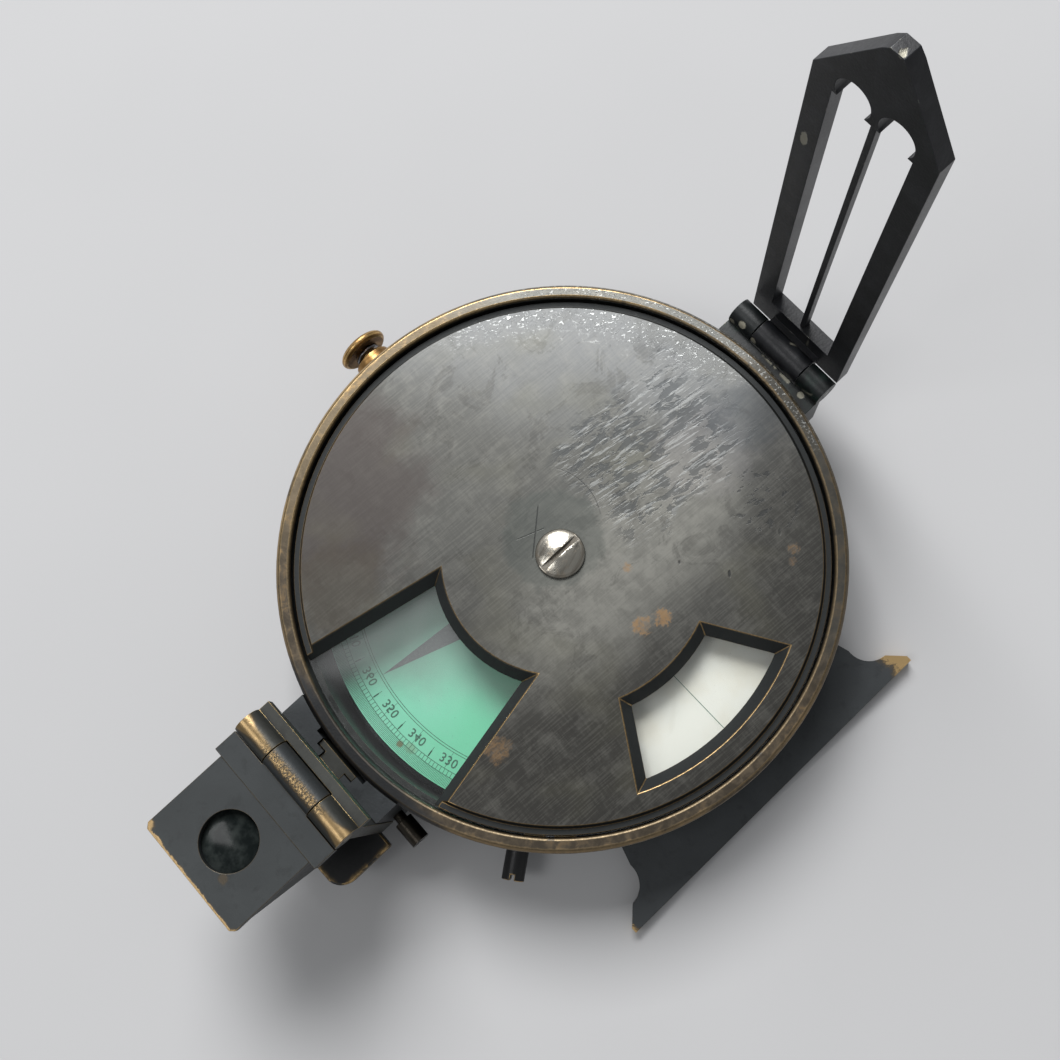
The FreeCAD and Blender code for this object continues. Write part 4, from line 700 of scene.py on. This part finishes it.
def card_finish(colours):
    """Matt pale green face with painted shade on one side of the pointer, with specks and a spot of rust."""
    f = Finish("card_face")
    mottle = f.noise(0.25, 3.0, 0.55)
    fibre = f.noise(5.0)
    # painted shade: the card darkened on one side of the pointer, where the window's wall shades it
    painted_shade = f.towards(37.0).ragged(mottle, 3.0).over(-21.0, -15.0) * (0.4 + 0.6 * f.y.over(-5.0, 5.0))
    specks = f.cells(1.1).over(0.07, 0.04) * f.noise(0.5, 1.0, 0.5).over(0.5, 0.58)
    rust = joined(f.blob(-29.3, -2.4, 0.55, 0.6, 1.6), f.blob(-28.7, -3.6, 0.9, 0.7, 1.2) * 0.40)
    top = top_of("compass_card")
    colour = f.coats(
        colours.card,
        (mottle.over(0.35, 0.7) * 0.25, toned(colours.card, 0.86)),
        (f.y.ragged(mottle, 8.0).over(1.0, -9.0) * 0.6, shade(98, 190, 147)),
        (painted_shade * 0.75, colours.card_dark),
        (specks * 0.5, shade(70, 110, 92)),
        (rust * 0.8, shade(126, 92, 56)),
        (f.z.over(top - 0.1, top - 0.2), shade(120, 104, 74)))
    height = fibre * 0.6 + mottle * 0.4
    return f.metal(colour, 0.62 + (fibre - 0.5) * 0.16, 0.0, f.bump(height, 0.02 * MM), gloss=0.3)


def sector_finish(colours):
    """Warm white enamel, a little yellowed, with dust and faint grey rubs."""
    f = Finish("sector_face")
    mottle = f.noise(0.22, 3.0, 0.55)
    fibre = f.noise(6.0)
    specks = f.cells(1.6).over(0.06, 0.04) * f.noise(0.6, 1.0, 0.5).over(0.5, 0.58)
    rubs = f.noise(0.7, place=f.turned(40.0, 5.0)).over(0.60, 0.72)
    colour = f.coats(
        colours.sector,
        (mottle.over(0.40, 0.7) * 0.4, shade(206, 198, 178)),
        (specks * 0.5, shade(120, 112, 96)),
        (rubs * 0.2, shade(196, 192, 180)))
    return f.metal(colour, 0.48 + (fibre - 0.5) * 0.2, 0.0, f.bump(fibre, 0.01 * MM), gloss=0.4)


def ink_finish(name, colour):
    """Old print, worn a little paler in places."""
    f = Finish(name)
    worn = f.noise(3.0)
    tone = f.mix(worn.over(0.45, 0.75) * 0.35, colour, toned(colour, 1.0, 0.12))
    return f.metal(tone, 0.55 + (worn - 0.5) * 0.2, 0.0, gloss=0.3)


def glass_finish(name, tint, dust):
    """Clear old glass: light goes through, and its faces reflect by their slant; dust, and a grey painted
    reflection over the shaded side of the card.
    """
    f = Finish(name)
    smears = f.noise(0.12, warp=0.8)
    specks = f.cells(1.1).over(0.05, 0.03)
    # painted reflection: a grey veil over the card window beside the pointer
    bloom = f.towards(37.0).ragged(smears, 4.0).over(-21.5, -15.5) * f.x.over(-4.0, -10.0)
    bloom = bloom * (0.3 + 0.7 * f.y.over(-5.0, 5.0))
    dust_and_reflection = (smears.over(0.45, 0.75) * dust + specks * 0.25 + bloom * 0.052).least(1.0)
    through = f.node("ShaderNodeBsdfTransparent", {}, {"Color": tint})
    mirror = f.node("ShaderNodeBsdfGlossy", {}, {"Color": (1.0, 1.0, 1.0), "Roughness": 0.04})
    slant = Value(f, f.node("ShaderNodeLayerWeight", {}, {"Blend": 0.5}).outputs["Facing"])
    # a face sends back 4 percent straight on and all of it at a glance
    share = 0.04 + 0.96 * slant ** 5.0
    sheet = f.node("ShaderNodeMixShader", {}, {0: share, 1: through.outputs[0], 2: mirror.outputs[0]})
    powder_and_reflection = f.node("ShaderNodeBsdfDiffuse", {}, {"Color": (0.75, 0.76, 0.76)})
    return f.close(f.node("ShaderNodeMixShader", {}, {0: dust_and_reflection, 1: sheet.outputs[0], 2: powder_and_reflection.outputs[0]}))


def prism_finish():
    """Polished prism glass painted near black as painted shade in its hole, with dim facets."""
    f = Finish("prism_crown_glass")
    smears = f.noise(0.6)
    colour = f.mix(smears.over(0.40, 0.70), (0.006, 0.008, 0.008), (0.020, 0.024, 0.023))
    return f.metal(colour, 0.16 + smears.over(0.5, 0.8) * 0.14, 0.0, gloss=0.05)


def turned_finish(name, colour, rough):
    """Plain turned metal of the inner works and small screws: fine grain and a dull bloom."""
    f = Finish(name)
    grain = f.noise(3.0)
    bloom = f.noise(0.4)
    tone = f.mix(bloom.over(0.4, 0.7) * 0.5, colour, toned(colour, 0.55))
    return f.metal(tone, rough + (grain - 0.5) * 0.2, 1.0, f.bump(grain, 0.02 * MM))


# ---------------------------------------------------------------- dressing of pieces


def dress(names, finish, edge=None, width=0.0):
    """Give CAD pieces their finish. With an edge finish their corners are rubbed round by width."""
    for name in names:
        piece = NODES[name]
        piece.data.materials.clear()
        piece.data.materials.append(finish)
        weld = piece.modifiers.new("join corners", "WELD")
        weld.merge_threshold = SAME_CORNER
        flat = piece.modifiers.new("join flats", "DECIMATE")
        flat.decimate_type = "DISSOLVE"
        flat.angle_limit = SAME_FLAT
        if edge is not None:
            piece.data.materials.append(edge)
            rub = piece.modifiers.new("rubbed edges", "BEVEL")
            rub.width = width
            rub.segments = bpy.context.scene.inclinometer_wear.steps
            rub.limit_method = "ANGLE"
            rub.angle_limit = REAL_EDGE
            rub.material = 1  # the edge finish
            rub.miter_outer = "MITER_SHARP"
        smooth = piece.modifiers.new("shading", "WEIGHTED_NORMAL")
        smooth.weight = FLATS_WEIGHT


def dress_turned(names, finish_name, colour, rough=0.34):
    """Give small turned pieces one plain metal, on their slightly rubbed edges too."""
    metal = turned_finish(finish_name, colour, rough)
    dress(names, metal, metal, bpy.context.scene.inclinometer_wear.slight)


def new_object(name, shape, finish):
    """Put a shape, its points and its faces, into a new mesh object with one finish."""
    points, faces = shape
    mesh = bpy.data.meshes.new(name)
    mesh.from_pydata(points.reshape(-1, 3).tolist(), [], faces)
    mesh.materials.append(finish)
    made = bpy.data.objects.new(name, mesh)
    bpy.context.scene.collection.objects.link(made)
    return made


def add_piece(name, shape, finish, body):
    """Put a shape into a new piece that rides on a body."""
    piece = new_object(name, shape, finish)
    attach(piece, body)


def strokes(inner, outer, at, width):
    """Flat radial strokes: for each angle a rectangle from the inner to the outer radius, width across."""
    along = np.stack([np.cos(at), np.sin(at)], axis=1)
    aside = np.stack([-along[:, 1], along[:, 0]], axis=1) * (width / 2)
    corners = np.stack([
        along * inner - aside, along * outer - aside, along * outer + aside, along * inner + aside], axis=1)
    return corners, np.arange(len(at) * 4).reshape(-1, 4)


def circle(radius, width, start=0.0, span=2 * math.pi, count=360):
    """Flat ring or arc: two rows of points, width apart, carried round the radius."""
    at = start + span * np.linspace(0.0, 1.0, count + 1)
    unit = np.stack([np.cos(at), np.sin(at)], axis=1)
    rows = np.stack([unit * (radius - width / 2), unit * (radius + width / 2)], axis=1)
    low = np.arange(count) * 2
    return rows, np.stack([low, low + 1, low + 3, low + 2], axis=1)


def gather(parts, height):
    """Join flat pieces of print into one shape at one height."""
    points, faces, first = [], [], 0
    for corners, quads in parts:
        flat = corners.reshape(-1, 2)
        points.append(np.column_stack([flat, np.full(len(flat), height)]))
        faces.append(quads + first)
        first += len(flat)
    return np.concatenate(points), np.concatenate(faces).tolist()


def card_lines(sizes):
    """Ticks, rungs, stubs with their hairlines, a line at each number and four circles."""
    tick_out = CARD_RADIUS - sizes.tick_outer
    rung_out = CARD_RADIUS - sizes.rung_outer
    rung_in = rung_out - sizes.rung_long
    stub_out = CARD_RADIUS - sizes.stub_outer
    circle_out = CARD_RADIUS - sizes.circle_in
    thirds = np.radians(np.arange(0.0, 360.0, 1.0 / 3.0))
    ones = np.radians(np.arange(0.0, 360.0, 1.0))
    tens = sizes.number_zero + np.radians(np.arange(0.0, 360.0, 10.0))
    fives = tens + math.radians(5.0)
    # inner end, outer end, angles, and width as a share of the stroke
    radial = (
        (tick_out - sizes.tick_long, tick_out, thirds, 0.7),
        (rung_in, rung_out, ones, 0.9),
        (stub_out - sizes.stub_long, stub_out, fives, 2.2),
        (rung_in - sizes.hair_long, rung_in, fives, 0.8),
        (circle_out, rung_in, tens, 0.6))
    rings = (rung_out, rung_in, circle_out, circle_out - sizes.circle_gap)
    lines = [strokes(inner, outer, at, sizes.stroke * share) for inner, outer, at, share in radial]
    return lines + [circle(reach, sizes.stroke) for reach in rings]


def number_mesh(text, high):
    """A number as a flat mesh round its own middle, reversed left to right to be read in the prism."""
    curve = bpy.data.curves.new("number", "FONT")
    curve.body = text
    curve.size = high * FONT_SIZE
    curve.align_x = "CENTER"
    curve.align_y = "CENTER"
    curve.space_character = FONT_SPACE
    curve.offset = high * FONT_BOLD
    curve.resolution_u = FONT_STEPS
    shape = bpy.data.objects.new("number", curve)
    mesh = bpy.data.meshes.new_from_object(shape)
    points = np.zeros(len(mesh.vertices) * 3)
    mesh.vertices.foreach_get("co", points)
    points = points.reshape(-1, 3)[:, :2] * (-FONT_WIDE, 1.0)
    faces = [tuple(reversed(face.vertices)) for face in mesh.polygons]
    bpy.data.objects.remove(shape)
    bpy.data.curves.remove(curve)
    bpy.data.meshes.remove(mesh)
    return points, faces


def card_numbers(sizes, height):
    """Numbers every ten degrees with their tops to the card's edge: each mesh turned to its place."""
    reach = CARD_RADIUS - sizes.number_in
    points, faces, first = [], [], 0
    for number in range(10, 370, 10):
        flat, sides = number_mesh(str(number), sizes.number_high)
        at = sizes.number_zero - math.radians(number)
        out = np.array([math.cos(at), math.sin(at)])
        right = np.array([out[1], -out[0]])
        placed = flat[:, :1] * right + flat[:, 1:] * out + out * reach
        points.append(np.column_stack([placed, np.full(len(placed), height)]))
        faces.extend(tuple(corner + first for corner in side) for side in sides)
        first += len(placed)
    return np.concatenate(points), faces


def card_pointer(sizes, height):
    """Flat triangle from two corners beside the card's cap to a point on the inner circle."""
    low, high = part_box("card_cap")
    start = (high[0] - low[0]) / 2
    reach = CARD_RADIUS - sizes.circle_in - sizes.circle_gap
    out = np.array([math.cos(sizes.pointer_at), math.sin(sizes.pointer_at)])
    aside = np.array([-out[1], out[0]])
    half = sizes.pointer_half * (1.0 - start / reach)
    flat = np.stack([out * start - aside * half, out * reach, out * start + aside * half])
    return np.column_stack([flat, np.full(3, height)]), [[0, 1, 2]]


# ---------------------------------------------------------------- operators


def looks(context):
    """The colours and the widths of wear that a user may have changed."""
    return context.scene.inclinometer_colours, context.scene.inclinometer_wear


class DressCover(bpy.types.Operator):
    """Old skin on the cover plate, glass in its windows and the nickel screw in its middle."""

    bl_idname = "inclinometer.dress_cover"
    bl_label = "Cover, glass and middle screw"

    def execute(self, context):
        colours, wear = looks(context)
        edge = edge_finish("cover_edges", shade(30, 31, 29), 0.80, shade(164, 138, 98), where=cover_edge)
        dress(["cover_plate"], cover_finish(colours), edge, wear.thin)
        dress(["cover_glass"], glass_finish("window_glass", (0.992, 0.999, 0.996), 0.02))
        nickel = nickel_finish(colours)
        dress(["centre_screw"], nickel, nickel, wear.fine)
        return {"FINISHED"}


class DressCase(bpy.types.Operator):
    """Bezel ring, case wall, base plate with its straight bar, and the screws in the back."""

    bl_idname = "inclinometer.dress_case"
    bl_label = "Case, rim and base bar"

    def execute(self, context):
        colours, wear = looks(context)
        rim_edge = edge_finish("rim_edges", shade(50, 45, 38), 0.74, shade(156, 134, 98), where=handled_side)
        dress(["bezel_ring"], rim_finish(colours), rim_edge, wear.fine)
        case_edge = edge_finish("case_edges", colours.bronze, 0.40, colours.brass)
        dress(["case_wall"], bronze_finish("case_bronze", colours.bronze), case_edge, wear.fine)
        base = bronze_finish("base_bronze", shade(54, 57, 59), colours.brass, bar_wear, 0.2)
        rubbed = edge_finish("bar_edges", colours.bronze, 0.86, shade(150, 122, 80), where=bar_edge)
        dress(["base_plate"], base, rubbed, wear.thin)
        dress_turned(["base_screws"], "screw_steel", shade(122, 116, 104))
        return {"FINISHED"}


class DressVane(bpy.types.Operator):
    """Black lacquer on the sighting vane and its bracket, with their chips, and steel in both hinges."""

    bl_idname = "inclinometer.dress_vane"
    bl_label = "Sighting vane"

    def execute(self, context):
        colours, wear = looks(context)
        lacquer = lacquer_finish("vane_lacquer", colours.lacquer, vane_marks)
        edge = edge_finish("vane_edges", shade(44, 45, 48), 0.20, shade(150, 148, 140))
        dress(["vane_frame", "vane_bar"], lacquer, edge, wear.slight)
        hinge = lacquer_finish("hinge_lacquer", shade(11, 15, 16), bracket_marks, 0.4, 0.30)
        hinge_edge = edge_finish("hinge_edges", shade(34, 39, 39), 0.22, shade(120, 112, 92))
        dress(["vane_bracket"], hinge, hinge_edge, wear.fine)
        dress_turned(["vane_hinge_pin", "prism_hinge_pin"], "pin_steel", shade(110, 108, 104))
        return {"FINISHED"}


class DressPrism(bpy.types.Operator):
    """Prism plate with its housing and glass, the slide with its barrel, the guide and the thumb rest."""

    bl_idname = "inclinometer.dress_prism"
    bl_label = "Prism sight"

    def execute(self, context):
        colours, wear = looks(context)
        bare = shade(144, 122, 88)
        satin = bronze_finish("prism_satin", colours.satin, bare, prism_wear, 0.12)
        edge = edge_finish("prism_edges", colours.satin, 0.80, shade(170, 142, 92), where=plate_edge)
        dress(["prism_plate"], satin, edge, wear.fine)
        dark = bronze_finish("housing_black", shade(34, 36, 37), pale=0.15)
        dress(["prism_housing"], dark, edge, wear.fine)
        dress(["prism_glass"], prism_finish())
        barrel = bronze_finish("slide_bronze", shade(48, 49, 46), bare, barrel_wear, 0.3)
        slide_edge = edge_finish("slide_edges", shade(60, 60, 56), 0.66, shade(164, 142, 100))
        dress(["prism_slide"], barrel, slide_edge, wear.thin)
        guide = bronze_finish("guide_bronze", shade(50, 53, 55), pale=0.2)
        guide_edge = edge_finish("guide_edges", colours.bronze, 0.3, colours.brass)
        dress(["prism_guide"], guide, guide_edge, wear.fine)
        thumb = bronze_finish("thumb_black", shade(23, 24, 25), colours.brass, thumb_wear, 0.15)
        thumb_edge = edge_finish("thumb_edges", colours.bronze, 0.5, colours.brass)
        dress(["thumb_rest"], thumb, thumb_edge, wear.broad)
        dress_turned(["slide_clamp_screw"], "clamp_steel", shade(60, 56, 50))
        return {"FINISHED"}


class DressControls(bpy.types.Operator):
    """Brass push knob with its bush, and the black lock plunger."""

    bl_idname = "inclinometer.dress_controls"
    bl_label = "Push knob and lock plunger"

    def execute(self, context):
        colours, wear = looks(context)
        brass = knob_finish(colours)
        bright = edge_finish("knob_edges", shade(120, 90, 54), 0.62, shade(214, 178, 118), 0.8)
        dress(["brake_knob", "brake_bush"], brass, bright, wear.fine)
        black = bronze_finish("plunger_black", shade(36, 36, 37), pale=0.2)
        worn = edge_finish("plunger_edges", shade(40, 40, 40), 0.60, colours.brass)
        dress(["lock_plunger"], black, worn, wear.fine)
        return {"FINISHED"}


class DressWorks(bpy.types.Operator):
    """The inner works: bridge, arbor, hub, weight, pivot, cap, magnet, lifter, guide, shoe and springs."""

    bl_idname = "inclinometer.dress_works"
    bl_label = "Inner works"

    def execute(self, context):
        brass = ["bridge_bar", "clinometer_hub", "clinometer_weight", "pivot_post", "card_cap",
                 "lifter_bracket", "card_lifter", "lock_guide", "brake_shoe"]
        dress_turned(brass, "works_brass", shade(150, 122, 76), 0.36)
        steel = ["bridge_screws", "clinometer_arbor", "pivot_pin", "lifter_pin"]
        dress_turned(steel, "works_steel", shade(150, 150, 152), 0.26)
        dress(["lock_spring", "brake_spring"], turned_finish("spring_wire", shade(120, 120, 124), 0.3))
        dress_turned(["card_magnet"], "magnet_blue", shade(44, 52, 84), 0.28)
        return {"FINISHED"}


class PrintCard(bpy.types.Operator):
    """Green card face with its printed ring of ticks, ladder, circles, reversed numbers and pointer."""

    bl_idname = "inclinometer.print_card"
    bl_label = "Compass card"

    def execute(self, context):
        colours = context.scene.inclinometer_colours
        sizes = context.scene.inclinometer_dial
        dress(["compass_card"], card_finish(colours))
        ink = ink_finish("card_ink", colours.ink)
        height = CARD_TOP + sizes.ink
        add_piece("card_scale", gather(card_lines(sizes), height), ink, "compass")
        add_piece("card_numbers", card_numbers(sizes, height), ink, "compass")
        # the pointer lies on the print, so a little higher
        pointer = card_pointer(sizes, CARD_TOP + 1.6 * sizes.ink)
        grey = ink_finish("pointer_ink", colours.pointer)
        add_piece("card_pointer", pointer, grey, "compass")
        return {"FINISHED"}


class PrintSector(bpy.types.Operator):
    """White face of the pendulum with its index line and its fine arc."""

    bl_idname = "inclinometer.print_sector"
    bl_label = "Clinometer face"

    def execute(self, context):
        colours = context.scene.inclinometer_colours
        sizes = context.scene.inclinometer_dial
        dress(["clinometer_sector"], sector_finish(colours))
        ink = ink_finish("sector_ink", colours.ink)
        arc_at = SECTOR_REACH - sizes.index_in
        index = strokes(sizes.index_start, arc_at, np.array([sizes.index_at]), sizes.stroke * 1.1)
        arc = circle(arc_at, sizes.stroke * 0.7, sizes.arc_start, sizes.arc_span, 90)
        shape = gather([index, arc], SECTOR_TOP + sizes.ink)
        add_piece("sector_lines", shape, ink, "clinometer")
        return {"FINISHED"}


class BuildStudio(bpy.types.Operator):
    """Plain pale floor, soft lamps, even sky and the camera."""

    bl_idname = "inclinometer.build_studio"
    bl_label = "Studio"

    def execute(self, context):
        studio = context.scene.inclinometer_studio
        self.floor(studio.floor_half, context.scene.inclinometer_colours.floor)
        self.sky(context, studio)
        self.lamp(
            context, "window_lamp", at=(0.40, 0.66, 0.98), target=(0.0, 0.0, 0.0), size=0.60,
            power=studio.window)
        self.lamp(
            context, "side_lamp", at=(-0.55, 0.20, 0.95), target=(-0.02, 0.0, 0.0), size=0.40,
            power=studio.side)
        self.camera(context, studio)
        context.scene.view_settings.view_transform = "Standard"
        return {"FINISHED"}

    def floor(self, half, colour, count=8):
        """Square floor of count by count panels, faintly clouded."""
        steps = np.linspace(-half, half, count + 1)
        across, along = np.meshgrid(steps, steps)
        points = np.stack([across, along, np.zeros_like(across)], axis=2)
        first = (np.arange(count)[:, None] * (count + 1) + np.arange(count)).ravel()
        faces = np.stack([first, first + 1, first + count + 2, first + count + 1], axis=1)
        f = Finish("floor_cloth")
        tone = f.mix(f.noise(0.02, 2.0, 0.5).over(0.3, 0.7) * 0.3, colour, toned(colour, 0.94))
        new_object("floor", (points, faces.tolist()), f.metal(tone, 0.9, 0.0, gloss=0.1))

    def sky(self, context, studio):
        """Even light from all round, a little cool."""
        world = bpy.data.worlds.new("even_sky")
        context.scene.world = world
        world.use_nodes = True
        back = world.node_tree.nodes["Background"]
        back.inputs["Color"].default_value = (0.96, 0.98, 1.0, 1.0)
        back.inputs["Strength"].default_value = studio.sky

    def lamp(self, context, name, at, target, size, power):
        """Square soft lamp at a place, turned to a target."""
        light = bpy.data.lights.new(name, "AREA")
        light.shape = "SQUARE"
        light.size = size
        light.energy = power
        lamp = bpy.data.objects.new(name, light)
        lamp.location = at
        lamp.rotation_euler = (Vector(target) - Vector(at)).to_track_quat("-Z", "Y").to_euler()
        context.scene.collection.objects.link(lamp)

    def camera(self, context, studio):
        """Camera at the eye: its right is kept, and its up is made square to it."""
        data = bpy.data.cameras.new("camera")
        data.sensor_width = 36.0
        data.lens = studio.lens
        data.shift_x = studio.shift_x
        data.shift_y = studio.shift_y
        data.clip_start = 0.005
        data.clip_end = 20.0
        camera = bpy.data.objects.new("camera", data)
        right = Vector(studio.right).normalized()
        back = right.cross(Vector(studio.up)).normalized()
        turn = Matrix((right, back.cross(right), back)).transposed()
        camera.matrix_world = Matrix.LocRotScale(Vector(studio.eye), turn, None)
        context.scene.collection.objects.link(camera)
        context.scene.camera = camera


OPERATORS = (
    DressCover, DressCase, DressVane, DressPrism, DressControls, DressWorks,
    PrintCard, PrintSector, BuildStudio)
GROUPS = {
    "inclinometer_dial": DialSizes,
    "inclinometer_colours": FinishColours,
    "inclinometer_wear": WearSizes,
    "inclinometer_studio": StudioSizes,
}


class InclinometerPanel(bpy.types.Panel):
    """Sidebar panel that lists the steps and their sizes."""

    bl_idname = "VIEW3D_PT_inclinometer"
    bl_label = "Inclinometer"
    bl_space_type = "VIEW_3D"
    bl_region_type = "UI"
    bl_category = "Inclinometer"

    def draw(self, context):
        for step in OPERATORS:
            self.layout.operator(step.bl_idname)
        for name, group in GROUPS.items():
            box = self.layout.box()
            for size in group.__annotations__:
                box.prop(getattr(context.scene, name), size)


def register():
    for part in (*GROUPS.values(), *OPERATORS, InclinometerPanel):
        bpy.utils.register_class(part)
    for name, group in GROUPS.items():
        setattr(bpy.types.Scene, name, PointerProperty(type=group))


def unregister():
    for name in GROUPS:
        delattr(bpy.types.Scene, name)
    for part in reversed((*GROUPS.values(), *OPERATORS, InclinometerPanel)):
        bpy.utils.unregister_class(part)


def main():
    """Register the parts of the add-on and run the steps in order."""
    register()
    for step in OPERATORS:
        group, name = step.bl_idname.split(".")
        getattr(getattr(bpy.ops, group), name)()


if __name__ == "__main__":
    main()
